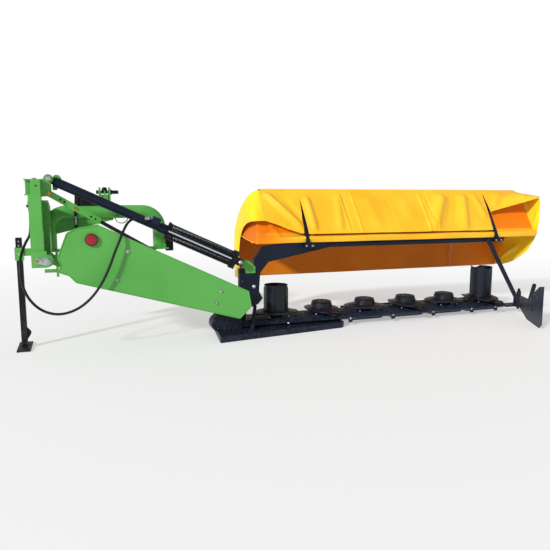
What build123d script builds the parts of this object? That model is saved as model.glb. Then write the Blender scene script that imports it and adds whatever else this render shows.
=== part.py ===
from build123d import *
import math
import os

# Side-mounted disc mower, parked with its cutterbar on the ground. All lengths are in millimetres.
# X runs outboard, Y forward, Z up from the floor. While it is built, x = 0 is the first disc
# and y = 0 the line of discs; at the end everything is shifted so the origin is under the middle.

# ---------------------------------------------------------------- driving dimensions
DISC_COUNT = 6
DISC_PITCH = 410.0
TIP_RADIUS = 252.0          # knife tip from its disc's axis
DISC_HALF_LENGTH = 190.0
DISC_HALF_WIDTH = 138.0
SHEET = 6.0                 # cloth thickness
SEAT = 0.3                  # running or seating gap between neighbours
PIN_PLAY = 0.05             # radial play of a pin in its bore

BAR_BOTTOM = 46.0           # cutterbar casing above the floor, on its skids
BAR_TOP = 104.0
BAR_REAR_Y = -140.0
BAR_FRONT_Y = 150.0
BAR_INNER_X = -330.0
BAR_END_MARGIN = 172.0      # casing past the last disc's axis
SPINDLE_RADIUS = 20.0
DRUM_RADIUS = 96.0
DRUM_WALL = 7.0
INNER_DRUM_TOP = 362.0
OUTER_DRUM_TOP = 428.0

PIVOT_X, PIVOT_Z = -1720.0, 645.0        # arm pivot under the mast
TILT_X, TILT_Z = -425.0, 290.0           # cutterbar tilt axis at the arm's outer end
BARREL_X, BARREL_Z = -1690.0, 1195.0     # upper cylinder pin
LINK_DROP = 99.0                         # relief link pin below the cylinder pin
ROD_X, ROD_Z = -335.0, 570.0             # rod eye at the lift bracket
CYLINDER_Y = -100.0
LINK_Y = -108.0
BARREL_RADIUS = 33.0
BARREL_LENGTH = 880.0
ROD_RADIUS = 20.0
PISTON_SETBACK = 110.0                   # rod end inside the barrel mouth at rest
BARREL_PIN_RADIUS = 14.0
LINK_PIN_RADIUS = 9.0
EAR_GAP = 64.0                           # between the ears that hold barrel and link
SIDE_SPRING_OFFSET = 55.0
SIDE_SPRING_RADIUS = 15.0
YOKE_REACH = 74.0                        # rod eye to the back of its yoke
LINK_WIDTH = 44.0
LINK_HEIGHT = 43.0
LINK_WALL = 5.0
CHANNEL_LENGTH = 385.0
LINK_REACH = 1000.0                      # relief link pin to the lug on the arm
LINK_ANGLE = -31.0
LINK_SPRING_RADIUS = 13.0
LINK_EYE_HALF = 10.0

GUARD_REAR_Y = -300.0
GUARD_FRONT_Y = -145.0
GUARD_WALL = 4.0
BEAM_REAR_Y = -120.0
BEAM_FRONT_Y = -40.0
BEAM_HALF_HEIGHT = 58.0
PIVOT_PIN_RADIUS = 22.0
PIVOT_BOSS_RADIUS = 36.0
TRUNNION_RADIUS = 35.0
TILT_BOSS_RADIUS = 68.0

MAST_LEFT_X = -1817.0
MAST_WIDTH = 79.0
MAST_REAR_Y = -240.0
MAST_DEPTH = 110.0
MAST_BOTTOM = 690.0
MAST_TOP = 1083.0
HOOD_HEIGHT = 107.0
HOOD_WALL = 8.0

HITCH_X = -1307.0           # middle of the three-point hitch
HITCH_SPACING = 825.0       # between lower link balls, category 2
HITCH_Y = 310.0
LOWER_PIN_Z = 500.0
TOP_LINK_Z = 1110.0
LOWER_PIN_RADIUS = 14.1
TOP_PIN_RADIUS = 12.7
ARCH_RADIUS = 51.0
ARCH_Z = 958.0
ARCH_BEND = 130.0
LEG_BOTTOM = 670.0

REFLECTOR = (-1431.0, 785.0)
REFLECTOR_RADIUS = 42.0

PTO_X, PTO_Z = -1330.0, 660.0
PTO_RADIUS = 17.46
PTO_HOUSING_RADIUS = 46.0

STAND_X, STAND_Y = -1910.0, 0.0
STAND_SIDE = 40.0
SLEEVE_WALL = 8.0
STAND_TOP = 790.0
STAND_FOOT_LENGTH = 260.0

POST_TOP = 509.0
BOOM_FOOT = 470.0
BRACKET_PLATE = 12.0
BOOM_REAR_Y = -60.0
BOOM_FRONT_Y = -10.0
TUBE_Z = 680.0
TUBE_RADIUS = 22.0
TUBE_START_X = 445.0
TUBE_END_X = 2240.0

CANOPY_INNER_X = -215.0
CANOPY_OUTER_X = 2640.0
CANOPY_FRONT_Y = 510.0
CANOPY_FRONT_Z = 760.0
FRONT_HEM_Z = 365.0
FOLD_Y = -95.0              # folding frame's hinge line, behind the boom
FOLD_Z = 680.0
FOLD_PIN_RADIUS = 10.0
TOP_BAR_Y = 170.0
TOP_BAR_Z = 1120.0
TOP_BAR_RADIUS = 14.0
TOP_BAR_INNER_X = -100.0
TOP_BAR_OUTER_X = 2520.0
FOLD_ARM_INNER_X = 250.0
FOLD_ARM_OUTER_X = 2135.0
FOLD_ARM_SIDE = 30.0
CURTAIN_DROP = 410.0
CURTAIN_DEEP_X = 1960.0     # outboard of this the rear curtain is cut short

SWATH_HINGE_X, SWATH_HINGE_Y = 2330.0, -190.0
SWATH_LENGTH = 700.0
SWATH_ANGLE = 242.0         # direction from hinge, degrees from +X
SWATH_HEIGHT = 350.0
SWATH_HINGE_TOP = 230.0
SWATH_PIN_RADIUS = 12.0
OUTER_ARM_TOP_X = 2047.0
OUTER_ARM_SIDE = 28.0
BRACKET_END_X = 2480.0
BRACKET_Z = 56.0            # underside of the outer bracket's plate

HOSE_DIAMETER = 18.0

# ---------------------------------------------------------------- shape helpers


def box(x0, x1, y0, y1, z0, z1):
    return Pos((x0 + x1) / 2, (y0 + y1) / 2, (z0 + z1) / 2) * Box(x1 - x0, y1 - y0, z1 - z0)


def prism(points, shift):
    outline = Wire.make_polygon([Vector(*p) for p in points], close=True)
    return Part() + Solid.extrude(Face(outline), Vector(*shift))


def plate_xz(points, y0, y1):
    return prism([(x, y0, z) for x, z in points], (0, y1 - y0, 0))


def plate_yz(points, x0, x1):
    return prism([(x0, y, z) for y, z in points], (x1 - x0, 0, 0))


def plate_xy(points, z0, z1):
    return prism([(x, y, z0) for x, y in points], (0, 0, z1 - z0))


def rod(start, end, radius):
    start, end = Vector(*start), Vector(*end)
    return Part() + Solid.make_cylinder(radius, (end - start).length, Plane(start, z_dir=end - start))


def square_bar(start, end, side, side_dir):
    start, end = Vector(*start), Vector(*end)
    length = (end - start).length
    frame = Plane(start, x_dir=Vector(*side_dir), z_dir=end - start)
    return frame * Pos(0, 0, length / 2) * Box(side, side, length)


def pin_y(x, z, radius, y0, y1):
    return rod((x, y0, z), (x, y1, z), radius)


def pin_x(y, z, radius, x0, x1):
    return rod((x0, y, z), (x1, y, z), radius)


def pin_z(x, y, radius, z0, z1):
    return rod((x, y, z0), (x, y, z1), radius)


def lathe(x, y, profile):
    """Solid of revolution about the vertical through x, y; profile is a list of (radius, z)."""
    outline = Wire.make_polygon([Vector(x + r, y, z) for r, z in profile], close=True)
    return Part() + Solid.revolve(Face(outline), 360, Axis((x, y, 0), (0, 0, 1)))


def along(start, end, distance, offset=0.0):
    """Point on the line start to end in the XZ plane, offset square to it."""
    dx, dz = end[0] - start[0], end[1] - start[1]
    length = math.hypot(dx, dz)
    ux, uz = dx / length, dz / length
    return start[0] + ux * distance - uz * offset, start[1] + uz * distance + ux * offset


def strip(start, end, d0, d1, o0, o1, y0, y1):
    """Block along the line start to end, between two distances and two offsets."""
    corners = [(d0, o0), (d1, o0), (d1, o1), (d0, o1)]
    return plate_xz([along(start, end, d, o) for d, o in corners], y0, y1)


# ---------------------------------------------------------------- values that follow
PIVOT = (PIVOT_X, PIVOT_Z)
TILT = (TILT_X, TILT_Z)
BARREL_PIN = (BARREL_X, BARREL_Z)
ROD_PIN = (ROD_X, ROD_Z)
LINK_X, LINK_Z = BARREL_X, BARREL_Z - LINK_DROP
LINK_PIN = (LINK_X, LINK_Z)
CHANNEL_TOP = MAST_TOP + HOOD_HEIGHT
CYLINDER_LENGTH = math.dist(BARREL_PIN, ROD_PIN)
PORT_DISTANCE = BARREL_LENGTH - 110
PORT_Y = CYLINDER_Y - 60
LINK_END = (
    LINK_X + LINK_REACH * math.cos(math.radians(LINK_ANGLE)),
    LINK_Z + LINK_REACH * math.sin(math.radians(LINK_ANGLE)),
)
MAST_RIGHT_X = MAST_LEFT_X + MAST_WIDTH
MAST_FRONT_Y = MAST_REAR_Y + MAST_DEPTH
LEFT_LEG_X = HITCH_X - HITCH_SPACING / 2
RIGHT_LEG_X = HITCH_X + HITCH_SPACING / 2
LAST_DISC_X = (DISC_COUNT - 1) * DISC_PITCH
BAR_OUTER_X = LAST_DISC_X + BAR_END_MARGIN
BOSS_TOP = BAR_TOP + 18
DISC_BOTTOM = BOSS_TOP + SEAT
DISC_RIM = BOSS_TOP + 8
DRUM_FOOT = DISC_RIM + 22
TUBE_Y = (BOOM_REAR_Y + BOOM_FRONT_Y) / 2
ARM_SPAN = math.dist((FOLD_Y, FOLD_Z), (TOP_BAR_Y, TOP_BAR_Z))
FRONT_BAR_REAR_Y = CANOPY_FRONT_Y - SHEET - SEAT - 18
FRONT_BAR_TOP = CANOPY_FRONT_Z - 22


# ---------------------------------------------------------------- headstock


def mast():
    post = box(MAST_LEFT_X, MAST_RIGHT_X, MAST_REAR_Y, MAST_FRONT_Y, MAST_BOTTOM, MAST_TOP)
    hood = box(MAST_LEFT_X - 20, MAST_RIGHT_X, MAST_REAR_Y, MAST_FRONT_Y, MAST_TOP, CHANNEL_TOP)
    wall = HOOD_WALL
    floor, roof = MAST_TOP + wall, CHANNEL_TOP - wall
    left = MAST_LEFT_X - 30
    mouth = box(left, MAST_RIGHT_X - wall, MAST_REAR_Y + wall, MAST_FRONT_Y - wall, floor, roof)
    window = box(left, MAST_LEFT_X + 18, MAST_REAR_Y - 8, MAST_REAR_Y + wall + 1, floor, roof)
    eye = pin_y(MAST_RIGHT_X - 26, MAST_TOP + 62, 7, MAST_REAR_Y - 1, MAST_REAR_Y + wall + 1)
    return post + hood - mouth - window - eye


def side_frame():
    low = MAST_BOTTOM - 50
    rear = plate_yz(
        [(MAST_FRONT_Y, low), (MAST_FRONT_Y, MAST_TOP), (0, MAST_TOP - 23), (0, low)],
        MAST_LEFT_X,
        MAST_RIGHT_X - 27,
    )
    top = [(0, MAST_TOP - 33), (HITCH_Y, ARCH_Z + 42)]
    bottom = [(HITCH_Y, LEG_BOTTOM + 30), (HITCH_Y - 190, LEG_BOTTOM - 10), (0, low + 20)]
    front = plate_yz(top + bottom, MAST_LEFT_X, LEFT_LEG_X + 15)
    return rear + front - arch_tube(ARCH_RADIUS + SEAT)


def arch_tube(radius):
    path = FilletPolyline(
        (LEFT_LEG_X, HITCH_Y, LEG_BOTTOM),
        (LEFT_LEG_X, HITCH_Y, ARCH_Z),
        (RIGHT_LEG_X, HITCH_Y, ARCH_Z),
        (RIGHT_LEG_X, HITCH_Y, LEG_BOTTOM),
        radius=ARCH_BEND,
    )
    return sweep(Plane(path @ 0, z_dir=path % 0) * Circle(radius), path=path)


def hitch_arch():
    tube = arch_tube(ARCH_RADIUS)
    for leg_x in (LEFT_LEG_X, RIGHT_LEG_X):
        tube += box(leg_x - 66, leg_x + 66, HITCH_Y - 62, HITCH_Y + 100, LEG_BOTTOM - 12, LEG_BOTTOM)
    return tube


def arch_gusset():
    low = ARCH_Z - ARCH_RADIUS
    leg = LEFT_LEG_X + 20
    elbow = [(leg, ARCH_Z - ARCH_BEND), (leg + 10, ARCH_Z - 30), (leg + 110, ARCH_Z - 20)]
    points = [(leg, LEG_BOTTOM + 115), *elbow, (HITCH_X + 60, ARCH_Z - 20), (HITCH_X + 60, low - 12)]
    return plate_xz(points, HITCH_Y - 7, HITCH_Y + 7) - arch_tube(ARCH_RADIUS + SEAT)


def top_link_clevis():
    clevis = Part()
    for side in (-1, 1):
        x = HITCH_X + side * 36
        ear = box(x - 6, x + 6, HITCH_Y - 42, HITCH_Y + 52, ARCH_Z + 20, TOP_LINK_Z + 8)
        ear += pin_x(HITCH_Y + 5, TOP_LINK_Z, 38, x - 6, x + 6)
        clevis += ear
    clevis += pin_x(HITCH_Y + 5, TOP_LINK_Z, TOP_PIN_RADIUS, HITCH_X - 60, HITCH_X + 105)
    return clevis - arch_tube(ARCH_RADIUS + SEAT)


def lower_hitch(leg_x):
    """Lug below the leg's foot plate with a free-ended pin towards the outside of the frame."""
    outward = 1 if leg_x > HITCH_X else -1
    inner = leg_x - outward * 50
    outer = inner + outward * 16
    top, low = LEG_BOTTOM - 12, LOWER_PIN_Z - 44
    points = [(HITCH_Y - 40, top), (HITCH_Y + 96, top), (HITCH_Y + 126, top - 98)]
    points += [(HITCH_Y + 126, low), (HITCH_Y + 36, low), (HITCH_Y - 40, top - 58)]
    lug = plate_yz(points, min(inner, outer), max(inner, outer))
    pin_end = inner + outward * 104
    return lug + pin_x(HITCH_Y + 80, LOWER_PIN_Z, LOWER_PIN_RADIUS, min(inner, pin_end), max(inner, pin_end))


def cylinder_bracket():
    """Two ears beside the mast that hold the cylinder's barrel eye and the relief link."""
    inside, outside = EAR_GAP / 2, EAR_GAP / 2 + 10
    rear, front = CYLINDER_Y - outside, CYLINDER_Y + outside
    bracket = box(MAST_RIGHT_X, MAST_RIGHT_X + 9, rear, front, LINK_Z - 22, BARREL_Z - 5)
    for y0, y1 in ((rear, CYLINDER_Y - inside), (CYLINDER_Y + inside, front)):
        ear = box(MAST_RIGHT_X, BARREL_X + 14, y0, y1, LINK_Z - 20, BARREL_Z)
        ear += pin_y(BARREL_X, BARREL_Z, 31, y0, y1)
        bracket += ear
    bracket += pin_y(BARREL_X, BARREL_Z, BARREL_PIN_RADIUS, rear - 8, front + 8)
    return bracket + pin_y(LINK_X, LINK_Z, LINK_PIN_RADIUS, rear - 6, front + 6)


def pivot_bracket():
    rear = box(MAST_LEFT_X, PIVOT_X, MAST_REAR_Y - 12, MAST_REAR_Y, PIVOT_Z - 45, MAST_BOTTOM + 22)
    rear += pin_y(PIVOT_X, PIVOT_Z, 42, MAST_REAR_Y - 12, MAST_REAR_Y)
    keeper = box(MAST_LEFT_X + 30, PIVOT_X, MAST_REAR_Y - 17, MAST_REAR_Y - 12, PIVOT_Z - 22, PIVOT_Z + 22)
    keeper += pin_y(PIVOT_X, PIVOT_Z, 28, MAST_REAR_Y - 17, MAST_REAR_Y - 12)
    front = box(MAST_RIGHT_X - 27, PIVOT_X, -30, -18, PIVOT_Z - 42, MAST_BOTTOM + 60)
    front += pin_y(PIVOT_X, PIVOT_Z, 42, -30, -18)
    pin = pin_y(PIVOT_X, PIVOT_Z, PIVOT_PIN_RADIUS, MAST_REAR_Y - 24, -10)
    return rear + keeper + front + pin


def stand_sleeve():
    half = STAND_SIDE / 2
    low, high = MAST_BOTTOM - 58, MAST_BOTTOM + 32
    out = half + SLEEVE_WALL
    outer = box(STAND_X - out, STAND_X + out, STAND_Y - out, STAND_Y + out, low, high)
    arm = box(STAND_X + out, MAST_LEFT_X, STAND_Y - 18, STAND_Y + 18, low + 30, high - 10)
    bore = half + SEAT
    hole = box(STAND_X - bore, STAND_X + bore, STAND_Y - bore, STAND_Y + bore, low - 1, high + 1)
    return outer + arm - hole


def stand_leg():
    half = STAND_SIDE / 2
    leg = box(STAND_X - half, STAND_X + half, STAND_Y - half, STAND_Y + half, 12, STAND_TOP)
    reach = STAND_FOOT_LENGTH / 2
    foot = box(STAND_X - 45, STAND_X + 45, STAND_Y - reach, STAND_Y + reach, 0, 12)
    side = STAND_X + half
    brace = plate_xz([(side, 150), (side + 26, 118), (side + 26, 100), (side, 60)], -6, 6)
    return leg + foot + Pos(0, STAND_Y, 0) * brace


def hose_holder():
    """Clip on the side frame that parks the hose's quick coupler."""
    x, y, z = HOSE_ROUTE[-1]
    clip = box(x - 21, MAST_LEFT_X, y - 22, y + 22, z + 22, z + 40)
    return clip - pin_z(x, y, 15 + SEAT, z, z + 80)


def hose_coupler():
    x, y, z = HOSE_ROUTE[-1]
    return pin_z(x, y, 13, z, z + 22) + pin_z(x, y, 15, z + 22, z + 62) + pin_z(x, y, 11, z + 62, z + 84)


# ---------------------------------------------------------------- swinging arm


def carrier_beam():
    length = math.dist(PIVOT, TILT)
    half = BEAM_HALF_HEIGHT
    outline = [(20, -30), (230, -half), (length, -half), (length, half), (230, half), (20, 30)]
    beam = plate_xz([along(PIVOT, TILT, d, o) for d, o in outline], BEAM_REAR_Y, BEAM_FRONT_Y)
    beam += pin_y(PIVOT_X, PIVOT_Z, PIVOT_BOSS_RADIUS, MAST_REAR_Y + 2, -32)
    beam += pin_y(TILT_X, TILT_Z, TILT_BOSS_RADIUS, BEAM_REAR_Y, BEAM_FRONT_Y)
    lug_foot = along(PIVOT, TILT, LINK_END[0] - PIVOT_X, half - 2)
    lug_rear = LINK_Y + LINK_EYE_HALF + SEAT
    end_x, end_z = LINK_END
    foot_x, foot_z = lug_foot
    foot = [(foot_x - 60, foot_z + 10), (foot_x + 60, foot_z - 22)]
    outline = foot + [(end_x + 20, end_z), (end_x - 20, end_z)]
    lug = plate_xz(outline, lug_rear, lug_rear + 12)
    lug += pin_y(end_x, end_z, 20, lug_rear, lug_rear + 12)
    beam += lug
    for share in (0.21, 0.4, 0.8):
        x, z = along(PIVOT, TILT, share * length)
        beam += box(x - 25, x + 25, GUARD_FRONT_Y, BEAM_REAR_Y, z - 30, z + 30)
    beam -= pin_y(PIVOT_X, PIVOT_Z, PIVOT_PIN_RADIUS + PIN_PLAY, MAST_REAR_Y, 0)
    return beam - pin_y(TILT_X, TILT_Z, TRUNNION_RADIUS + PIN_PLAY, -200, 0)


GUARD_OUTLINE = [
    (-1588, 829), (-1523, 859), (-1385, 882), (-323, 368), (-302, 249), (-393, 167), (-1540, 496),
    (-1582, 545), (-1649, 571), (-1631, 622), (-1652, 666), (-1633, 716),
]


def belt_guard():
    """Pressed cover over the belts: a rear face with a rim, open towards the back plate."""
    outer = plate_xz(GUARD_OUTLINE, GUARD_REAR_Y, GUARD_FRONT_Y - GUARD_WALL)
    start = GUARD_REAR_Y + GUARD_WALL
    face = Face(Wire.make_polygon([Vector(x, start, z) for x, z in GUARD_OUTLINE], close=True))
    room = offset(face, -GUARD_WALL, kind=Kind.INTERSECTION).faces()[0]
    return outer - Solid.extrude(room, Vector(0, GUARD_FRONT_Y - start, 0))


def belt_back_plate():
    plate = plate_xz(GUARD_OUTLINE, GUARD_FRONT_Y - GUARD_WALL, GUARD_FRONT_Y)
    return plate - pin_y(PTO_X, PTO_Z, 20, -200, 0)


def pto_housing():
    housing = pin_y(PTO_X, PTO_Z, PTO_HOUSING_RADIUS, GUARD_FRONT_Y, 30)
    foot = plate_xz(
        [(PTO_X - 70, PTO_Z - 62), (PTO_X + 70, PTO_Z - 100), (PTO_X + 40, PTO_Z), (PTO_X - 40, PTO_Z)],
        BEAM_REAR_Y,
        BEAM_FRONT_Y,
    )
    length = math.dist(PIVOT, TILT)
    outline = [(0, -200), (length, -200), (length, BEAM_HALF_HEIGHT), (0, BEAM_HALF_HEIGHT)]
    beam_room = plate_xz([along(PIVOT, TILT, d, o) for d, o in outline], -200, 0)
    return housing + foot - beam_room - pin_y(PTO_X, PTO_Z, PTO_RADIUS + PIN_PLAY, -200, 60)


def pto_shaft():
    shaft = pin_y(PTO_X, PTO_Z, PTO_RADIUS, GUARD_FRONT_Y - 10, 120)
    return shaft + pin_y(PTO_X, PTO_Z, 26, 30 + SEAT, 40)


def reflector():
    x, z = REFLECTOR
    base = GUARD_REAR_Y - 6
    return pin_y(x, z, REFLECTOR_RADIUS, base - 10, base) + pin_y(x, z, 10, base, GUARD_REAR_Y)


# ---------------------------------------------------------------- relief link and lift cylinder


def link_channel():
    half = LINK_WIDTH / 2
    tall = LINK_HEIGHT / 2
    body = strip(LINK_PIN, LINK_END, -22, CHANNEL_LENGTH, -tall, tall, LINK_Y - half, LINK_Y + half)
    room, roof = half - LINK_WALL, tall - LINK_WALL
    body -= strip(LINK_PIN, LINK_END, 24, CHANNEL_LENGTH + 1, -tall - 1, roof, LINK_Y - room, LINK_Y + room)
    for distance in (82, 112, 312, 345):
        x, z = along(LINK_PIN, LINK_END, distance, 0)
        body -= pin_y(x, z, 7, LINK_Y - half - 1, LINK_Y + half + 1)
    return body - pin_y(LINK_X, LINK_Z, LINK_PIN_RADIUS + PIN_PLAY, -200, 0)


def link_spring():
    top = along(LINK_PIN, LINK_END, CHANNEL_LENGTH - 25)
    bottom = along(LINK_PIN, LINK_END, LINK_REACH - 34)
    coil = rod((top[0], LINK_Y, top[1]), (bottom[0], LINK_Y, bottom[1]), LINK_SPRING_RADIUS)
    coil += rod((bottom[0], LINK_Y, bottom[1]), (LINK_END[0], LINK_Y, LINK_END[1]), 7)
    return coil + pin_y(LINK_END[0], LINK_END[1], 18, LINK_Y - LINK_EYE_HALF, LINK_Y + LINK_EYE_HALF)


def cylinder_barrel():
    start = (BARREL_X, CYLINDER_Y, BARREL_Z)
    mouth = along(BARREL_PIN, ROD_PIN, BARREL_LENGTH)
    bottom = along(BARREL_PIN, ROD_PIN, 130)
    end = (mouth[0], CYLINDER_Y, mouth[1])
    neck = along(BARREL_PIN, ROD_PIN, 40)
    barrel = rod((neck[0], CYLINDER_Y, neck[1]), end, BARREL_RADIUS) + rod(start, end, 24)
    barrel += pin_y(BARREL_X, BARREL_Z, 27, CYLINDER_Y - 30, CYLINDER_Y + 30)
    barrel -= rod((bottom[0], CYLINDER_Y, bottom[1]), end, ROD_RADIUS + PIN_PLAY)
    port_start, port_end = PORT_DISTANCE - 30, PORT_DISTANCE + 30
    port = strip(BARREL_PIN, ROD_PIN, port_start, port_end, 4, 58, PORT_Y - 19, CYLINDER_Y - 22)
    barrel += port - rod(start, end, BARREL_RADIUS - 1)
    barrel += rod(HOSE_START, (PORT_X - 20, PORT_Y, PORT_Z), 12)
    return barrel - pin_y(BARREL_X, BARREL_Z, BARREL_PIN_RADIUS + PIN_PLAY, -200, 0)


def cylinder_rod():
    back = along(BARREL_PIN, ROD_PIN, BARREL_LENGTH - PISTON_SETBACK)
    shaft = rod((back[0], CYLINDER_Y, back[1]), (ROD_X, CYLINDER_Y, ROD_Z), ROD_RADIUS)
    eye = pin_y(ROD_X, ROD_Z, 27, CYLINDER_Y - 14, CYLINDER_Y + 14)
    start, end = CYLINDER_LENGTH - YOKE_REACH, CYLINDER_LENGTH - 30
    yoke = strip(BARREL_PIN, ROD_PIN, start, end, -72, 72, CYLINDER_Y - 17, CYLINDER_Y + 17)
    pin = pin_y(ROD_X, ROD_Z, 11, CYLINDER_Y - 22, BOOM_REAR_Y - 0.5)
    return shaft + eye + yoke + pin


def side_springs():
    """Two coil springs beside the rod, from its yoke to the barrel's mouth."""
    springs = Part()
    for side in (-1, 1):
        a = along(BARREL_PIN, ROD_PIN, BARREL_LENGTH + 6, side * SIDE_SPRING_OFFSET)
        b = along(BARREL_PIN, ROD_PIN, CYLINDER_LENGTH - YOKE_REACH, side * SIDE_SPRING_OFFSET)
        springs += rod((a[0], CYLINDER_Y, a[1]), (b[0], CYLINDER_Y, b[1]), SIDE_SPRING_RADIUS)
    return springs


# ---------------------------------------------------------------- cutterbar


def cutterbar():
    rear = [(-105, BAR_BOTTOM), (BAR_REAR_Y, BAR_BOTTOM + 16), (BAR_REAR_Y, BAR_TOP - 26), (-105, BAR_TOP)]
    front = [(105, BAR_TOP), (BAR_FRONT_Y, BAR_TOP - 28), (BAR_FRONT_Y, BAR_BOTTOM + 16), (105, BAR_BOTTOM)]
    profile = rear + front
    bar = plate_yz(profile, BAR_INNER_X, BAR_OUTER_X)
    for i in range(DISC_COUNT):
        bar += pin_z(i * DISC_PITCH, 0, 58, BAR_TOP, BOSS_TOP)
        bar += pin_z(i * DISC_PITCH, 0, SPINDLE_RADIUS, BOSS_TOP, DRUM_FOOT + 20)
    return bar


def skid_shoes():
    """Wear shoes between the discs, turned up at both ends, on which the cutterbar slides."""
    profile = [
        (-104.7, BAR_BOTTOM), (-104.7, 38), (-40, 18), (35, 2), (60, 0), (110, 0), (155, 12), (205, 52),
        (232, 92), (226, 96), (198, 60), (150, 30), (110, 22), (104.7, BAR_BOTTOM),
    ]
    shoes = Part()
    for i in range(2, DISC_COUNT):
        middle = i * DISC_PITCH
        shoes += plate_yz(profile, middle - 120, middle + 120)
    return shoes


def inner_shoe():
    """Wide plate shoe under the inner end, turned down at its rim."""
    outline = [(-556, -349), (515, -192), (545, -162), (545, 75), (520, 100), (-500, 120)]
    inner = [(-545, -337), (511, -181), (535, -157), (535, 71), (516, 90), (-491, 110)]
    shoe = plate_xy(outline, 0, BAR_BOTTOM)
    return shoe - plate_xy(inner, -1, BAR_BOTTOM - 10)


def tilt_gearbox():
    """Bevel gear housing on the cutterbar's inner end, carrying the tilt trunnion."""
    housing = pin_y(TILT_X, TILT_Z, 84, BEAM_FRONT_Y + 5, 110)
    housing += box(-500, BAR_INNER_X, BEAM_FRONT_Y + 5, 110, BAR_BOTTOM, TILT_Z)
    housing += box(-535, BAR_INNER_X, -140, BEAM_FRONT_Y + 5, BAR_BOTTOM, 165)
    return housing + pin_y(TILT_X, TILT_Z, TRUNNION_RADIUS, BEAM_REAR_Y - 6, BEAM_FRONT_Y + 5)


def inner_post():
    left, foot = [(-275, BAR_TOP), (-325, BAR_TOP), (-325, POST_TOP)], BAR_BOTTOM
    right = [(-205, POST_TOP), (-205, BOOM_FOOT), (-150, BOOM_FOOT), (-160, 320), (-128, 262), (-170, 215)]
    post = plate_xz(left + right + [(-262, 180)], BOOM_REAR_Y + BRACKET_PLATE, BOOM_FRONT_Y)
    strut_foot = [(-300, -275, foot), (-280, -275, foot), (-280, -245, foot), (-300, -245, foot)]
    strut = prism(strut_foot, (95, 210, 160))
    return post + strut


def lift_bracket():
    low = POST_TOP - 37
    eye = [(ROD_X - 10, ROD_Z - 30), (ROD_X - 27, ROD_Z - 20)]
    eye += [(ROD_X - 27, ROD_Z + 18), (ROD_X - 5, ROD_Z + 30)]
    back = [(ROD_X + 81, ROD_Z + 5), (ROD_X + 115, ROD_Z - 22), (ROD_X + 140, ROD_Z - 48), (ROD_X + 140, low)]
    foot = [(ROD_X + 64, low), (ROD_X + 55, low + 29), (ROD_X + 30, ROD_Z - 43)]
    return plate_xz(eye + back + foot, BOOM_REAR_Y, BOOM_REAR_Y + BRACKET_PLATE)


def canopy_boom():
    end_x = TUBE_START_X + 5
    top = [(-205, BOOM_FOOT), (-205, 575), (-126, TUBE_Z), (206, TUBE_Z + 37), (end_x, TUBE_Z + TUBE_RADIUS)]
    low = [(end_x, TUBE_Z - TUBE_RADIUS), (-80, 555), (-150, BOOM_FOOT)]
    boom = plate_xz(top + low, BOOM_REAR_Y + BRACKET_PLATE, BOOM_FRONT_Y)
    boom += pin_x(TUBE_Y, TUBE_Z, TUBE_RADIUS, TUBE_START_X, TUBE_END_X)
    for x in (FOLD_ARM_INNER_X, FOLD_ARM_OUTER_X):
        inside = FOLD_ARM_SIDE / 2 + 3
        for x0, x1 in ((x - inside - 8, x - inside), (x + inside, x + inside + 8)):
            boom += box(x0, x1, FOLD_Y - 14, TUBE_Y - 5, FOLD_Z - 16, FOLD_Z + 16)
        boom += pin_x(FOLD_Y, FOLD_Z, FOLD_PIN_RADIUS, x - inside - 14, x + inside + 14)
    return boom


def outer_support_arm():
    y = TUBE_Y - TUBE_RADIUS - 14 - SEAT
    side = OUTER_ARM_SIDE
    foot = (BRACKET_END_X - 10, y, BAR_BOTTOM - 20)
    arm = square_bar((OUTER_ARM_TOP_X, y, TUBE_Z + 6), foot, side, (0, 1, 0))
    below = BRACKET_Z - 4 * side
    return arm - box(foot[0] - 200, foot[0] + 200, y - side, y + side, below, BRACKET_Z + BRACKET_PLATE + 2)


def outer_bracket():
    low, high = BRACKET_Z, BRACKET_Z + BRACKET_PLATE + 2
    plate = box(BAR_OUTER_X, BRACKET_END_X, -160, -44, low, high)
    ear_y = TUBE_Y - TUBE_RADIUS
    ear = box(BRACKET_END_X - 80, BRACKET_END_X, ear_y, ear_y + 8, high, high + 60)
    hinge = pin_z(SWATH_HINGE_X, SWATH_HINGE_Y, SWATH_PIN_RADIUS, low - 16, SWATH_HINGE_TOP)
    knuckle = box(SWATH_HINGE_X - 20, SWATH_HINGE_X + 20, SWATH_HINGE_Y - 18, -160, low, high)
    return plate + ear + hinge + knuckle


def swath_board():
    """Wear board with a spring stay, hung on an upright pin behind the outer end."""
    turn = Location((SWATH_HINGE_X, SWATH_HINGE_Y, 0), (0, 0, SWATH_ANGLE))
    top = [(35, 70), (35, 170), (290, 180), (600, SWATH_HEIGHT - 15), (SWATH_LENGTH, SWATH_HEIGHT)]
    low = [(SWATH_LENGTH, 40), (SWATH_LENGTH - 60, 4), (300, 4)]
    flat = plate_xz(top + low, -3, 3)
    knuckle = Part()
    for z in (90, 165):
        knuckle += pin_z(0, 0, 20, z, z + 40) + box(0, 60, -3, 3, z, z + 40)
    knuckle -= pin_z(0, 0, SWATH_PIN_RADIUS + PIN_PLAY, 0, SWATH_HEIGHT + 50)
    return (flat + knuckle).moved(turn)


# ---------------------------------------------------------------- discs and drums


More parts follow.
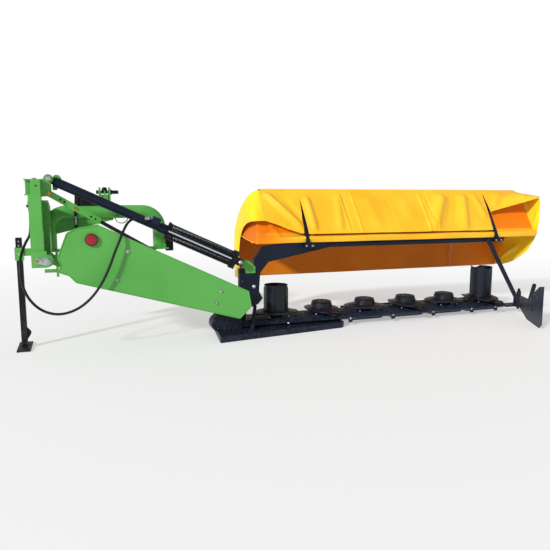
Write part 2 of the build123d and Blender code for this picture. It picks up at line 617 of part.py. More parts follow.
def disc(i):
    x = i * DISC_PITCH
    under = [(40, DISC_BOTTOM), (60, DISC_BOTTOM), (104, DISC_RIM + 8), (230, DISC_RIM - 8)]
    dish = lathe(x, 0, under + [(230, DISC_RIM - 2), (104, DRUM_FOOT), (40, DRUM_FOOT)])
    lobe = Pos(x, 0, DISC_BOTTOM) * extrude(Ellipse(DISC_HALF_LENGTH, DISC_HALF_WIDTH), 60)
    plate = dish & lobe
    bore = SPINDLE_RADIUS + PIN_PLAY
    plate += lathe(x, 0, [(bore, DISC_BOTTOM), (62, DISC_BOTTOM), (62, DRUM_FOOT), (bore, DRUM_FOOT)])
    for side in (-1, 1):
        root = x + side * 150
        tip = x + side * TIP_RADIUS
        knife = box(min(root, tip), max(root, tip), -24, 24, DISC_RIM - 12, DISC_RIM - 7)
        plate += knife + pin_z(x + side * 166, 0, 16, DISC_RIM - 12, DISC_RIM + 12)
    if 0 < i < DISC_COUNT - 1:
        top, room = DRUM_FOOT + 48, DRUM_FOOT + 21
        dome = [(0, top), (60, top), (80, top - 7), (89, top - 22), (92, DRUM_FOOT)]
        plate += lathe(x, 0, dome + [(bore, DRUM_FOOT), (bore, room), (0, room)])
    turn = 90 if i % 2 else 0
    return Pos(x, 0, 0) * Rot(0, 0, turn) * Pos(-x, 0, 0) * plate


def drum(i, top):
    x = i * DISC_PITCH
    inside, hub = DRUM_RADIUS - DRUM_WALL, SPINDLE_RADIUS + 1
    floor = [(inside, DRUM_FOOT + 6), (hub, DRUM_FOOT + 6), (hub, DRUM_FOOT)]
    return lathe(x, 0, floor + [(DRUM_RADIUS, DRUM_FOOT), (DRUM_RADIUS, top), (inside, top)])


def scooped_drum(i, top):
    """Drum whose upper rim dips in front and behind."""
    return drum(i, top) - pin_y(i * DISC_PITCH, top + 52, 70, -200, 200)


# ---------------------------------------------------------------- canopy


def canopy_struts():
    struts = Part()
    top = [(TUBE_Y + 5, TUBE_Z + 14), (FRONT_BAR_REAR_Y, FRONT_BAR_TOP - 2)]
    profile = top + [(FRONT_BAR_REAR_Y, FRONT_BAR_TOP - 28), (TUBE_Y + 5, TUBE_Z - 12)]
    for share in (0.05, 0.48, 0.87):
        x = TUBE_START_X + share * (TUBE_END_X - TUBE_START_X)
        struts += plate_yz(profile, x - 14, x + 14)
    return struts - pin_x(TUBE_Y, TUBE_Z, TUBE_RADIUS + SEAT, TUBE_START_X, TUBE_END_X)


def front_bar():
    margin = SHEET + SEAT
    y = FRONT_BAR_REAR_Y
    return box(CANOPY_INNER_X + margin, CANOPY_OUTER_X - margin, y, y + 18, FRONT_BAR_TOP - 32, FRONT_BAR_TOP)


def front_top_sheet():
    rear = BOOM_FRONT_Y + 6
    low = TUBE_Z + TUBE_RADIUS + SHEET
    front, high = CANOPY_FRONT_Y, CANOPY_FRONT_Z
    profile = [(rear, low), (rear, low + SHEET), (front, high), (front, high - SHEET)]
    margin = SHEET + SEAT
    return plate_yz(profile, CANOPY_INNER_X + margin, CANOPY_OUTER_X - margin)


def front_curtain():
    top = CANOPY_FRONT_Z - SHEET - 0.9
    return box(CANOPY_INNER_X, CANOPY_OUTER_X, CANOPY_FRONT_Y - SHEET, CANOPY_FRONT_Y, FRONT_HEM_Z, top)


def end_curtain_front():
    """Front edge of an end curtain, from its foot up to the front bar's height."""
    front = CANOPY_FRONT_Y - SHEET - SEAT
    return [(front, FRONT_HEM_Z + 6), (front, CANOPY_FRONT_Z + 20)]


def inner_end_curtain():
    """Upright below, then leaning in towards the top bar's end; its rear edge is cut to an arch."""
    low = plate_yz(
        [*end_curtain_front(), (270, CANOPY_FRONT_Z + 20), (355, 611), (345, FRONT_HEM_Z + 6)],
        CANOPY_INNER_X,
        CANOPY_INNER_X + SHEET,
    )
    shoulder = CANOPY_FRONT_Z + 20
    lean = Vector(TOP_BAR_INNER_X - CANOPY_INNER_X, 0, TOP_BAR_Z - shoulder)
    plane = Plane((CANOPY_INNER_X, 0, shoulder), x_dir=(0, 1, 0), z_dir=Vector(0, 1, 0).cross(lean))
    outline = [(503, 0), (445, 70), (376, 165), (249, 255), (190, 320), (95, 270), (-50, 150), (-40, 100)]
    flap = plane * extrude(make_face(Polyline(*outline, (185, 60), (270, 0), close=True)), SHEET)
    return low + flap


def outer_end_curtain():
    """Upright cloth over the outer end, its rear edge curving down to the front hem."""
    top = [(445, 830), (376, 932), (249, 1020), (190, 1090), (150, 1090), (-66, 1050)]
    rear = [(-66, 827), (-52, 731), (8, 611), (94, 519), (251, 429), (372, 392)]
    return plate_yz(end_curtain_front() + top + rear, CANOPY_OUTER_X - SHEET, CANOPY_OUTER_X)


def fold_direction():
    return Vector(0, TOP_BAR_Y - FOLD_Y, TOP_BAR_Z - FOLD_Z).normalized()


def fold_arm(x):
    """Square arm with an eye on the hinge pin, its other end on the top bar."""
    start = Vector(x, FOLD_Y, FOLD_Z) + fold_direction() * 2
    end = Vector(x, TOP_BAR_Y, TOP_BAR_Z) - fold_direction() * (TOP_BAR_RADIUS + SEAT)
    arm = square_bar(tuple(start), tuple(end), FOLD_ARM_SIDE, (1, 0, 0))
    arm += pin_x(FOLD_Y, FOLD_Z, 16, x - FOLD_ARM_SIDE / 2, x + FOLD_ARM_SIDE / 2)
    return arm - pin_x(FOLD_Y, FOLD_Z, FOLD_PIN_RADIUS + PIN_PLAY, x - 30, x + 30)


def top_bar():
    return pin_x(TOP_BAR_Y, TOP_BAR_Z, TOP_BAR_RADIUS, TOP_BAR_INNER_X, TOP_BAR_OUTER_X)


def fold_frame_plane(offset_out):
    """Plane of the folding frame: X along the bar, Y up the arms, offset to the sheet's side."""
    normal = Vector(1, 0, 0).cross(fold_direction())
    return Plane(Vector(0, FOLD_Y, FOLD_Z) + normal * offset_out, x_dir=(1, 0, 0), z_dir=normal)


def fold_sheet():
    """Sheet on the front of the arms, narrowing at the inner end towards the top bar."""
    plane = fold_frame_plane(-FOLD_ARM_SIDE / 2 - SEAT - SHEET)
    low, outer = 66, CANOPY_OUTER_X - 30
    outline = [(CANOPY_INNER_X + 30, low), (outer, low), (outer, ARM_SPAN), (TOP_BAR_INNER_X + 15, ARM_SPAN)]
    return plane * extrude(make_face(Polyline(*outline, close=True)), SHEET)


def rear_curtain():
    """Curtain of the rear half, thrown back over the arms, cut away towards both ends."""
    plane = fold_frame_plane(FOLD_ARM_SIDE / 2 + SEAT)
    inner, outer = TOP_BAR_INNER_X + 15, CANOPY_OUTER_X - 20
    hem = ARM_SPAN - CURTAIN_DROP
    rise = [(outer, ARM_SPAN - 95), (CURTAIN_DEEP_X, ARM_SPAN - 247), (CURTAIN_DEEP_X, hem)]
    top = [(inner, ARM_SPAN), (TOP_BAR_OUTER_X + 15, ARM_SPAN), (outer, ARM_SPAN - 72)]
    outline = [*top, *rise, (FOLD_ARM_INNER_X - 40, hem), (inner, hem + 115)]
    return plane * extrude(make_face(Polyline(*outline, close=True)), SHEET)


# ---------------------------------------------------------------- hose
# Its points run from the cylinder's port, down round the back of the guard, to the coupler.
PORT_X, PORT_Z = along(BARREL_PIN, ROD_PIN, PORT_DISTANCE, 52)
HOSE_START = (PORT_X - 61, PORT_Y, PORT_Z)
HOSE_ROUTE = [
    HOSE_START, (PORT_X - 120, PORT_Y, PORT_Z), (-1144, -192, 920), (-1187, -248, 893), (-1222, -310, 838),
    (-1252, -345, 773), (-1286, -352, 697), (-1322, -353, 600), (-1374, -351, 492), (-1446, -348, 392),
    (-1540, -346, 318), (-1655, -345, 287), (-1762, -343, 320), (-1838, -338, 400), (-1876, -322, 495),
    (-1887, -296, 585), (-1884, -252, 665), (-1868, -195, 728), (-1852, -130, 770), (-1843, -50, 788),
    (-1841, 40, 800), (-1841, 120, 822), (-1841, 176, 866), (-1841, 200, 925), (-1841, 200, 975),
]


def bend_radii(route):
    radii = []
    for a, b, c in zip(route, route[1:], route[2:]):
        before, after = Vector(*b) - Vector(*a), Vector(*c) - Vector(*b)
        half_turn = math.radians(before.get_angle(after)) / 2
        radii.append(0.45 * min(before.length, after.length) / math.tan(half_turn))
    return radii


def hydraulic_hose():
    radii = bend_radii(HOSE_ROUTE)
    path = FilletPolyline(*HOSE_ROUTE, radius=radii)
    print("hose bend radii", [round(r) for r in radii], "length", round(path.length))
    return sweep(Plane(path @ 0, z_dir=path % 0) * Circle(HOSE_DIAMETER / 2), path=path)


# ---------------------------------------------------------------- all pieces
parts = {
    "mast": mast(),
    "side_frame": side_frame(),
    "hitch_arch": hitch_arch(),
    "arch_gusset": arch_gusset(),
    "top_link_clevis": top_link_clevis(),
    "lower_hitch_left": lower_hitch(LEFT_LEG_X),
    "lower_hitch_right": lower_hitch(RIGHT_LEG_X),
    "cylinder_bracket": cylinder_bracket(),
    "pivot_bracket": pivot_bracket(),
    "stand_sleeve": stand_sleeve(),
    "stand_leg": stand_leg(),
    "hose_holder": hose_holder(),
    "hose_coupler": hose_coupler(),
    "hydraulic_hose": hydraulic_hose(),
    "carrier_beam": carrier_beam(),
    "belt_guard": belt_guard(),
    "belt_back_plate": belt_back_plate(),
    "pto_housing": pto_housing(),
    "pto_shaft": pto_shaft(),
    "reflector": reflector(),
    "link_channel": link_channel(),
    "link_spring": link_spring(),
    "cylinder_barrel": cylinder_barrel(),
    "cylinder_rod": cylinder_rod(),
    "side_springs": side_springs(),
    "cutterbar": cutterbar(),
    "skid_shoes": skid_shoes(),
    "inner_shoe": inner_shoe(),
    "tilt_gearbox": tilt_gearbox(),
    "inner_post": inner_post(),
    "lift_bracket": lift_bracket(),
    "canopy_boom": canopy_boom(),
    "outer_support_arm": outer_support_arm(),
    "outer_bracket": outer_bracket(),
    "canopy_struts": canopy_struts(),
    "front_bar": front_bar(),
    "front_top_sheet": front_top_sheet(),
    "front_curtain": front_curtain(),
    "inner_end_curtain": inner_end_curtain(),
    "outer_end_curtain": outer_end_curtain(),
    "fold_arm_inner": fold_arm(FOLD_ARM_INNER_X),
    "fold_arm_outer": fold_arm(FOLD_ARM_OUTER_X),
    "top_bar": top_bar(),
    "fold_sheet": fold_sheet(),
    "rear_curtain": rear_curtain(),
    "drum_inner": drum(0, INNER_DRUM_TOP),
    "drum_outer": scooped_drum(DISC_COUNT - 1, OUTER_DRUM_TOP),
    "swath_board": swath_board(),
}
for i in range(DISC_COUNT):
    parts[f"disc_{i + 1}"] = disc(i)

# The origin is on the floor under the middle of the machine's box, the hose left out.
whole = Compound([solid for name, part in parts.items() if "hose" not in name for solid in part.solids()])
middle = whole.bounding_box()
ORIGIN = Vector((middle.min.X + middle.max.X) / 2, (middle.min.Y + middle.max.Y) / 2, middle.min.Z)

os.makedirs("parts", exist_ok=True)
for name, part in parts.items():
    export_step(Compound(part.solids()).moved(Location(-ORIGIN)), f"parts/{name}.step")
print("origin", [round(v, 3) for v in ORIGIN])
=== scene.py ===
import bmesh
import bpy
import numpy as np
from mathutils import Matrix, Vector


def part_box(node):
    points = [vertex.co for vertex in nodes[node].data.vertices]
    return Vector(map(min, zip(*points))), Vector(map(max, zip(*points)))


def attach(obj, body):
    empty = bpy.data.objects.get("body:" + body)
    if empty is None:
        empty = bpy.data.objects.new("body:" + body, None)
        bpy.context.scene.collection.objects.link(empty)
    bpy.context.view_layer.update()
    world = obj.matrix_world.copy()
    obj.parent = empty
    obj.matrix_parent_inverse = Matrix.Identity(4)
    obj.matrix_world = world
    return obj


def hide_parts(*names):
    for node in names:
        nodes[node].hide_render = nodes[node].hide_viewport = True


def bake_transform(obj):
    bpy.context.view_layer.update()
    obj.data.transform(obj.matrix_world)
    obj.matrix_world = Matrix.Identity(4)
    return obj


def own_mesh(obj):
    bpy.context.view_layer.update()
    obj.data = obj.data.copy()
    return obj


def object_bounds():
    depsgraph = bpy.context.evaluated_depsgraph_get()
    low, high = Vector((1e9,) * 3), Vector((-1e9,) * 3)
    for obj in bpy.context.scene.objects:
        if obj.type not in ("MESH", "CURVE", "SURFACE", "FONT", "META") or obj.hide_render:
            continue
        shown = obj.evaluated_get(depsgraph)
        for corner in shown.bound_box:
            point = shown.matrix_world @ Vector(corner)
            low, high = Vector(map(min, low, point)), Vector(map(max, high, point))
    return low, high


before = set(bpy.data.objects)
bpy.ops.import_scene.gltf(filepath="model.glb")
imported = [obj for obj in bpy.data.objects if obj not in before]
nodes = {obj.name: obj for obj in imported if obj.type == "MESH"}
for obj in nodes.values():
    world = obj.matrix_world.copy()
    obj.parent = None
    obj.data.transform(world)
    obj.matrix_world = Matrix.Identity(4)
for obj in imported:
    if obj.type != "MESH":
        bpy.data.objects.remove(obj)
cad_low, cad_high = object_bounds()

# ---------- datum and camera
# Sizes below are in millimetres from the first disc's axis on the floor: x outboard along the
# discs, y forwards, z up. The camera stands behind the headstock at a standing person's chest.


def disc_axis(node):
    """Middle of a node's box seen from above, at the floor."""
    low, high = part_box(node)
    return np.array([(low.x + high.x) / 2, (low.y + high.y) / 2, 0.0])


datum = disc_axis("disc_1")
disc_pitch = 1000 * (disc_axis("disc_2") - datum)[0]


def place(points):
    """Millimetres from the datum turned into metres in the frame."""
    return np.asarray(points, float) / 1000 + datum


def put(name, data):
    """New object that holds data, linked into the scene."""
    thing = bpy.data.objects.new(name, data)
    bpy.context.scene.collection.objects.link(thing)
    return thing


camera_data = bpy.data.cameras.new("camera")
camera_data.lens = 36.65
camera_data.sensor_width = 36.0
camera = put("camera", camera_data)
camera.location = place((-1510, -4290, 1070))
camera.rotation_euler = np.radians((82.1, 0, -19.3))
bpy.context.scene.camera = camera

# ---------- hydraulic hose
# Rubber hose with a wire braid inside, from the lift cylinder's port down behind the belt guard
# and up to a quick coupler parked on the headstock. Crimped steel ferrules grip both ends.
HOSE_DIAMETER = 18
HOSE_ROUTE = [
    (-1030, -160, 920), (-1089, -160, 920), (-1144, -192, 920), (-1187, -248, 893),
    (-1222, -310, 838), (-1252, -345, 773), (-1286, -352, 697), (-1322, -353, 600),
    (-1374, -351, 492), (-1446, -348, 392), (-1540, -346, 318), (-1655, -345, 287),
    (-1762, -343, 320), (-1838, -338, 400), (-1876, -322, 495), (-1887, -296, 585),
    (-1884, -252, 665), (-1868, -195, 728), (-1852, -130, 770), (-1843, -50, 788),
    (-1841, 40, 800), (-1841, 120, 822), (-1841, 176, 866), (-1841, 200, 925),
    (-1841, 200, 975),
]


def linear(code):
    """sRGB hex code to linear red, green, blue, alpha."""
    channels = np.array([int(code[i:i + 2], 16) for i in (1, 3, 5)]) / 255
    low = channels / 12.92
    high = ((channels + 0.055) / 1.055) ** 2.4
    return (*np.where(channels <= 0.04045, low, high), 1.0)


def add(material, kind, settings=None, **inputs):
    """Adds a shader node, sets its settings, and fills or links its inputs. An input goes by its
    name, with an underscore for each space, or by its number, as in i0."""
    tree = material.node_tree
    node = tree.nodes.new("ShaderNode" + kind)
    for name, value in (settings or {}).items():
        setattr(node, name, value)
    for name, value in inputs.items():
        socket = node.inputs[int(name[1:]) if name[1:].isdigit() else name.replace("_", " ")]
        if isinstance(value, bpy.types.NodeSocket):
            tree.links.new(value, socket)
        else:
            socket.default_value = value
    return node


def spot(material):
    """Position in the piece's own coordinates, which are the frame's metres."""
    return add(material, "TexCoord").outputs["Object"]


def new_material(name):
    """Material with an empty node tree."""
    material = bpy.data.materials.new(name)
    material.use_nodes = True
    material.node_tree.nodes.clear()
    return material


def finish_material(material, shader):
    """Links a shader to the material's output."""
    output = add(material, "OutputMaterial")
    material.node_tree.links.new(shader.outputs[0], output.inputs["Surface"])
    return material


def principled(material, **inputs):
    """Closes a material with the principled shader."""
    return finish_material(material, add(material, "BsdfPrincipled", **inputs))


def two_tone(material, factor, first, second):
    """Mixes two colours by a factor socket."""
    mix = add(material, "Mix", {"data_type": "RGBA"}, i0=factor, i6=first, i7=second)
    return mix.outputs[2]


def ramp(material, value, start, end, first=0.0, last=1.0):
    """Runs from first to last as value goes from start to end, and holds beyond them."""
    return add(
        material, "MapRange", i0=value, i1=start, i2=end, i3=first, i4=last,
    ).outputs[0]


def speckle(material, scale, detail=4.0, low=0.4, high=0.6):
    """Noise on object coordinates, sharpened between two levels to run from 0 to 1."""
    noise = add(material, "TexNoise", Vector=spot(material), Scale=scale, Detail=detail)
    return ramp(material, noise.outputs[0], low, high)


def mottled(material, scale, first, second, *levels):
    """Two colours, given as hex codes, in specks; levels are speckle's detail, low and high."""
    return two_tone(material, speckle(material, scale, *levels), linear(first), linear(second))


def bumped(material, strength, depth, height, **under):
    """Normal tilted by a height that spans depth metres, on top of the normal in under."""
    return add(
        material, "Bump", Strength=strength, Distance=depth, Height=height, **under,
    ).outputs[0]


def grid_mesh(name, grids):
    """Mesh of grids of points in millimetres. Points i, j and i+1, j+1 of a grid span a quad."""
    verts, faces, count = [], [], 0
    for grid in grids:
        grid = np.asarray(grid, float)
        rows, columns = grid.shape[:2]
        index = count + np.arange(rows * columns).reshape(rows, columns)
        quads = np.stack([index[:-1, :-1], index[1:, :-1], index[1:, 1:], index[:-1, 1:]], -1)
        verts.append(grid.reshape(-1, 3))
        faces.append(quads.reshape(-1, 4))
        count += rows * columns
    mesh = bpy.data.meshes.new(name)
    mesh.from_pydata(place(np.concatenate(verts)), [], np.concatenate(faces))
    return mesh


def weld(mesh, distance, outwards):
    """Merges points closer than distance in metres, at seams and poles, drops the faces that this
    empties, turns the faces outwards if asked to, and shades the mesh smooth."""
    shell = bmesh.new()
    shell.from_mesh(mesh)
    bmesh.ops.remove_doubles(shell, verts=shell.verts, dist=distance)
    bmesh.ops.dissolve_degenerate(shell, edges=shell.edges, dist=1e-6)
    if outwards:
        bmesh.ops.recalc_face_normals(shell, faces=shell.faces)
    shell.to_mesh(mesh)
    shell.free()
    mesh.shade_smooth()


EDGE_ANGLE = np.radians(35)


def surface(name, grids, material, body):
    """Piece made of grids in millimetres that rides a body; edges past EDGE_ANGLE stay sharp."""
    mesh = grid_mesh(name, grids)
    weld(mesh, 1e-5, True)
    mesh.set_sharp_from_angle(angle=EDGE_ANGLE)
    mesh.materials.append(material)
    piece = put(name, mesh)
    if body:
        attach(piece, body)
    return piece


def unit(vectors):
    """Vectors divided by their lengths."""
    return vectors / np.linalg.norm(vectors, axis=-1, keepdims=True)


def swept(path, radius, sides=16, across=(0, 1, 0)):
    """Round tube closed at both ends. At each path point a circle stands square to the path; its
    first direction is square to the path and to across. radius may change along the path."""
    path = np.asarray(path, float)
    radii = np.broadcast_to(np.asarray(radius, float), len(path))
    forward = unit(np.gradient(path, axis=0))
    side = unit(np.cross(np.asarray(across, float), forward))
    up = np.cross(forward, side)
    angle = np.linspace(0, 2 * np.pi, sides + 1)[None, :, None]
    circle = side[:, None] * np.cos(angle) + up[:, None] * np.sin(angle)
    tube = path[:, None] + circle * radii[:, None, None]
    first = np.broadcast_to(path[0], tube[0].shape)
    last = np.broadcast_to(path[-1], tube[0].shape)
    return np.concatenate([first[None], tube, last[None]])


curve = bpy.data.curves.new("hose_line", "CURVE")
curve.dimensions = "3D"
spline = curve.splines.new("NURBS")
spline.points.add(len(HOSE_ROUTE) - 1)
spline.points.foreach_set("co", np.c_[place(HOSE_ROUTE), np.ones(len(HOSE_ROUTE))].ravel())
spline.order_u = 3
spline.use_endpoint_u = True
spline.resolution_u = 8
hose_line = put("hose_line", curve)
bpy.context.view_layer.update()
line_mesh = bpy.data.meshes.new_from_object(hose_line)
hose_points = np.array([v.co for v in line_mesh.vertices])
bpy.data.objects.remove(hose_line)

# Extruded rubber: nearly black and dull, with a faint wrapped-cloth grain 3 mm apart.
hose_rubber = new_material("synthetic_rubber_hose_cover")
grain = add(hose_rubber, "TexWave", Vector=spot(hose_rubber), Scale=60.0, Distortion=2.0)
principled(
    hose_rubber, Base_Color=mottled(hose_rubber, 9.0, "#0e0f12", "#1a1b20"), Roughness=0.5,
    Specular_IOR_Level=0.25, Normal=bumped(hose_rubber, 0.25, 0.0006, grain.outputs["Fac"]),
)

hose_path = (hose_points - datum) * 1000
hose = surface("hydraulic_hose_cover", [swept(hose_path, HOSE_DIAMETER / 2)], hose_rubber, None)
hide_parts("hydraulic_hose")
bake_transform(hose)

# ---------- floor and light
# A pale studio floor, faintly glowing so that it fades to white, one low sun from the left behind
# the camera and an even white sky.
WHITE = (1, 1, 1, 1)
FLOOR_HALF, FLOOR_GAP = 60.0, 0.001
floor_paint = new_material("pale_studio_floor")
away = add(floor_paint, "VectorMath", {"operation": "LENGTH"}, i0=spot(floor_paint))
floor_fade = ramp(floor_paint, away.outputs["Value"], 1.5, 7.0, 0.4, 1.0)
floor_matte = add(floor_paint, "BsdfDiffuse", Color=linear("#f2f2f2"))
floor_white = add(floor_paint, "Emission", Color=WHITE, Strength=1.0)
finish_material(floor_paint, add(
    floor_paint, "MixShader", i0=floor_fade, i1=floor_matte.outputs[0],
    i2=floor_white.outputs[0],
))
floor_z = cad_low.z - FLOOR_GAP
floor_corners = [
    (x * FLOOR_HALF, y * FLOOR_HALF, floor_z) for x, y in ((-1, -1), (1, -1), (1, 1), (-1, 1))
]
floor_mesh = bpy.data.meshes.new("studio_floor")
floor_mesh.from_pydata(floor_corners, [], [(0, 1, 2, 3)])
floor_mesh.materials.append(floor_paint)
put("studio_floor", floor_mesh)

# The camera sees a plain white sky; everything else is lit by a dimmer one.
world = bpy.data.worlds.new("studio_sky")
world.use_nodes = True
sky = world.node_tree.nodes["Background"]
sky.inputs["Color"].default_value = WHITE
sky.inputs["Strength"].default_value = 0.45
seen = add(world, "Background", Color=WHITE, Strength=1.0)
rays = add(world, "LightPath")
choice = add(
    world, "MixShader", i0=rays.outputs["Is Camera Ray"], i1=sky.outputs[0],
    i2=seen.outputs[0],
)
world_output = world.node_tree.nodes["World Output"]
world.node_tree.links.new(choice.outputs[0], world_output.inputs["Surface"])
bpy.context.scene.world = world

sun_data = bpy.data.lights.new("sun", "SUN")
sun_data.energy = 2.85
sun_data.angle = np.radians(5)
sun = put("sun", sun_data)
sun.rotation_euler = np.radians((64, 0, -55))
bpy.context.scene.view_settings.view_transform = "Standard"

# ---------- headstock
# Welded steel mast, side frame and round-tube hitch arch, shot-blasted and powder coated a bright
# leaf green. Bolts and pins are zinc plated.
BACK, UP = (0, -1, 0), (0, 0, 1)
CYLINDER_PIN = (-1690, -150, 1195)
LINK_PIN = (-1690, -148, 1096)
ARM_PIN = (-1720, -264, 645)
TOP_LINK = (-1307, 315, 1110)
ARCH_Y, ARCH_Z, ARCH_RADIUS = 310, 958, 51


def maths(material, operation, first, second):
    """Result of one sum on two values or sockets."""
    return add(
        material, "Math", {"operation": operation}, i0=first, i1=second,
    ).outputs[0]


def paint(name, light, dark, dust, roughness=0.36, shine=0.4):
    """Powder coat: two close tones in soft clouds, a little dust that gathers near the ground, fine
    orange-peel bump about 2 mm across, and a sheen that varies with handling."""
    material = new_material(name)
    tone = mottled(material, 2.5, dark, light, 5.0, 0.3, 0.7)
    height = add(material, "SeparateXYZ", i0=spot(material)).outputs["Z"]
    near_ground = ramp(material, height, 0.35, 0.0, 0.0, 0.35)
    grit = speckle(material, 38.0, 6.0, 0.42, 0.62)
    dusty = maths(material, "MULTIPLY", near_ground, grit)
    peel = add(material, "TexNoise", Vector=spot(material), Scale=420.0, Detail=2.0)
    return principled(
        material, Base_Color=two_tone(material, dusty, tone, linear(dust)),
        Roughness=ramp(material, grit, 0.0, 1.0, roughness, roughness + 0.14),
        Specular_IOR_Level=shine, Normal=bumped(material, 0.12, 0.0004, peel.outputs[0]),
    )


def plain(name, scale, first, second, detail=4.0, **look):
    """Material of two close tones in specks; look holds the shader's other inputs."""
    material = new_material(name)
    return principled(
        material, Base_Color=mottled(material, scale, first, second, detail), **look,
    )


def coat(material, *names):
    """Gives CAD nodes one material."""
    for name in names:
        mesh = nodes[name].data
        mesh.materials.clear()
        mesh.materials.append(material)


leaf_green = paint("green_powder_coat", "#5aab4d", "#509f43", "#7d8a5e")
coat(
    leaf_green, "mast", "side_frame", "hitch_arch", "arch_gusset", "top_link_clevis",
    "cylinder_bracket", "pivot_bracket", "stand_sleeve", "carrier_beam", "belt_guard",
    "belt_back_plate", "link_channel", "lift_bracket", "lower_hitch_left", "lower_hitch_right",
)

# Bright zinc plate: pale grey metal with a slightly blotchy passivated film.
zinc = plain("zinc_plated_steel", 30.0, "#9aa1a8", "#c3c8cc", Metallic=1.0, Roughness=0.34)
# Yellow-passivated zinc: warm and a little iridescent.
brass = plain("yellow_chromate_bolt", 60.0, "#b07a2a", "#c99a3f", Metallic=1.0, Roughness=0.4)


def plated(name, grids, body):
    """Zinc-plated piece."""
    surface(name, grids, zinc, body)


def frame_of(axis):
    """Three unit vectors with the last along axis."""
    axis = unit(np.asarray(axis, float))
    helper = np.array((0, 0, 1.0)) if abs(axis[2]) < 0.9 else np.array((1.0, 0, 0))
    side = unit(np.cross(helper, axis))
    return side, np.cross(axis, side), axis


def lathed(profile, centre, axis=(0, 0, 1), sides=40):
    """Profile of (radius, height) turned about an axis through centre; a radius of 0 closes it."""
    side, up, axis = frame_of(axis)
    radius, height = np.asarray(profile, float).T
    angle = np.linspace(0, 2 * np.pi, sides + 1)
    ring = side * np.cos(angle)[:, None] + up * np.sin(angle)[:, None]
    rise = (height[:, None] * axis)[:, None]
    return np.asarray(centre, float) + radius[:, None, None] * ring + rise


def hex_bolt(centre, axis, across=19, height=10):
    """Washer under a six-sided head with its corners turned down."""
    washer, corner, crown = across * 0.68, across / 2 / np.cos(np.pi / 6), height + 1.6
    head = [(0, 2), (corner, 2), (corner, height), (corner * 0.84, crown), (0, crown)]
    return [
        lathed([(0, 0), (washer, 0), (washer, 2), (0, 2)], centre, axis, 24),
        lathed(head, centre, axis, 6),
    ]


def bolts(places, axis, across, height):
    """Hexagon bolts of one size at several places."""
    return [grid for centre in places for grid in hex_bolt(centre, axis, across, height)]


def pin_head(centre, axis, radius, height):
    """Turned head with a chamfered rim."""
    rim = radius * 0.12
    profile = [(0, 0), (radius, 0), (radius, height - rim), (radius - rim, height), (0, height)]
    return lathed(profile, centre, axis, 32)


heads = [
    pin_head(CYLINDER_PIN, BACK, 19, 10), pin_head(ARM_PIN, BACK, 20, 9),
    pin_head((-1778, -140, 1191), UP, 13, 9), *hex_bolt((-1910, -28, 677), BACK, 16, 9),
]
plated("headstock_pins", heads, "headstock")
surface("yellow_bolts", [
    *hex_bolt(LINK_PIN, BACK, 22, 12), *hex_bolt((-1784, -260, 645), BACK, 17, 9),
], brass, "headstock")


def slab(outline, shift):
    """Flat plate: a star-shaped outline carried along shift, each face fanned from its middle."""
    outline = np.asarray(outline, float)
    ring = np.concatenate([outline, outline[:1]])
    shift = np.asarray(shift, float)
    middle = np.broadcast_to(outline.mean(0), ring.shape)
    return np.stack([middle, ring, ring + shift, middle + shift])


def block(low, high):
    """Box between two corners."""
    (x0, y0, z0), (x1, y1, z1) = low, high
    return slab([(x0, y0, z0), (x1, y0, z0), (x1, y1, z0), (x0, y1, z0)], (0, 0, z1 - z0))


def plate(outline, y, thickness):
    """Plate cut to an outline of (x, z), which starts at y and is as thick as thickness along y."""
    return slab([(x, y, z) for x, z in outline], (0, thickness, 0))


# Keeper plate of the arm's pivot pin: flat zinc plate with a lobe round the pin and its bolt.
keeper = plate((
    (-1797, 640), (-1796, 655), (-1784, 667), (-1768, 662), (-1748, 666), (-1728, 675),
    (-1706, 670), (-1691, 652), (-1692, 632), (-1710, 616), (-1734, 616), (-1760, 624),
    (-1786, 624),
), -257, -3)
plated("pivot_keeper", [keeper], "headstock")

# Top link clevis: a dark hitch pin with a collar, a stop plate with three upstanding tongues and
# two ribs, and a rubber stopper between the ears.
top_pin = np.array(TOP_LINK)
pin_right, pin_left = top_pin + (46, 0, 0), top_pin + (-48, 0, 0)
hitch_pin = [
    lathed([(0, 0), (14, 0), (14, 56), (11, 59), (0, 59)], pin_right, (1, 0, 0), 24),
    lathed([(20, 0), (20, 9), (13, 9), (13, 0), (20, 0)], pin_right, (1, 0, 0), 24),
    lathed([(0, 0), (14, 0), (14, 12), (11, 14), (0, 14)], pin_left, (-1, 0, 0), 24),
]
stopper_profile = [(0, -20), (19, -20), (21, 4), (15, 18), (0, 21)]
stopper = lathed(stopper_profile, top_pin + (0, -8, 18), UP, 24)
stop_plates = [block((-1350, 263, 1010), (-1264, 268, 1092))]
for low_x, high_x, low_z, high_z in (
    (-1350, -1341, 1092, 1134), (-1311, -1303, 1092, 1120), (-1273, -1264, 1092, 1138),
    (-1332, -1328, 1030, 1092), (-1290, -1286, 1030, 1092),
):
    stop_plates.append(block((low_x, 256, low_z), (high_x, 266, high_z)))
surface("clevis_stop_plates", stop_plates, leaf_green, "headstock")

# Second ear of the cylinder bracket, the arch's stub socket, and the leg's gusset and plate.
second_ear = plate((
    (-1668, 1120), (-1640, 1120), (-1612, 1170), (-1608, 1205), (-1625, 1224), (-1652, 1225),
    (-1668, 1205),
), -46, 8)
socket_ring = [(45, 0), (51, 0), (51, 26), (45, 26), (45, 0)]
socket = lathed(socket_ring, (-1189, 252, 918), (0, 1, 0))
leg_gusset = plate(((-842, 672), (-800, 672), (-842, 735)), 300, 10)
leg_plate = plate(((-936, 664), (-852, 664), (-846, 690), (-860, 712), (-932, 700)), 262, 8)
surface("headstock_plates", [second_ear, socket, leg_gusset, leg_plate], leaf_green, "headstock")

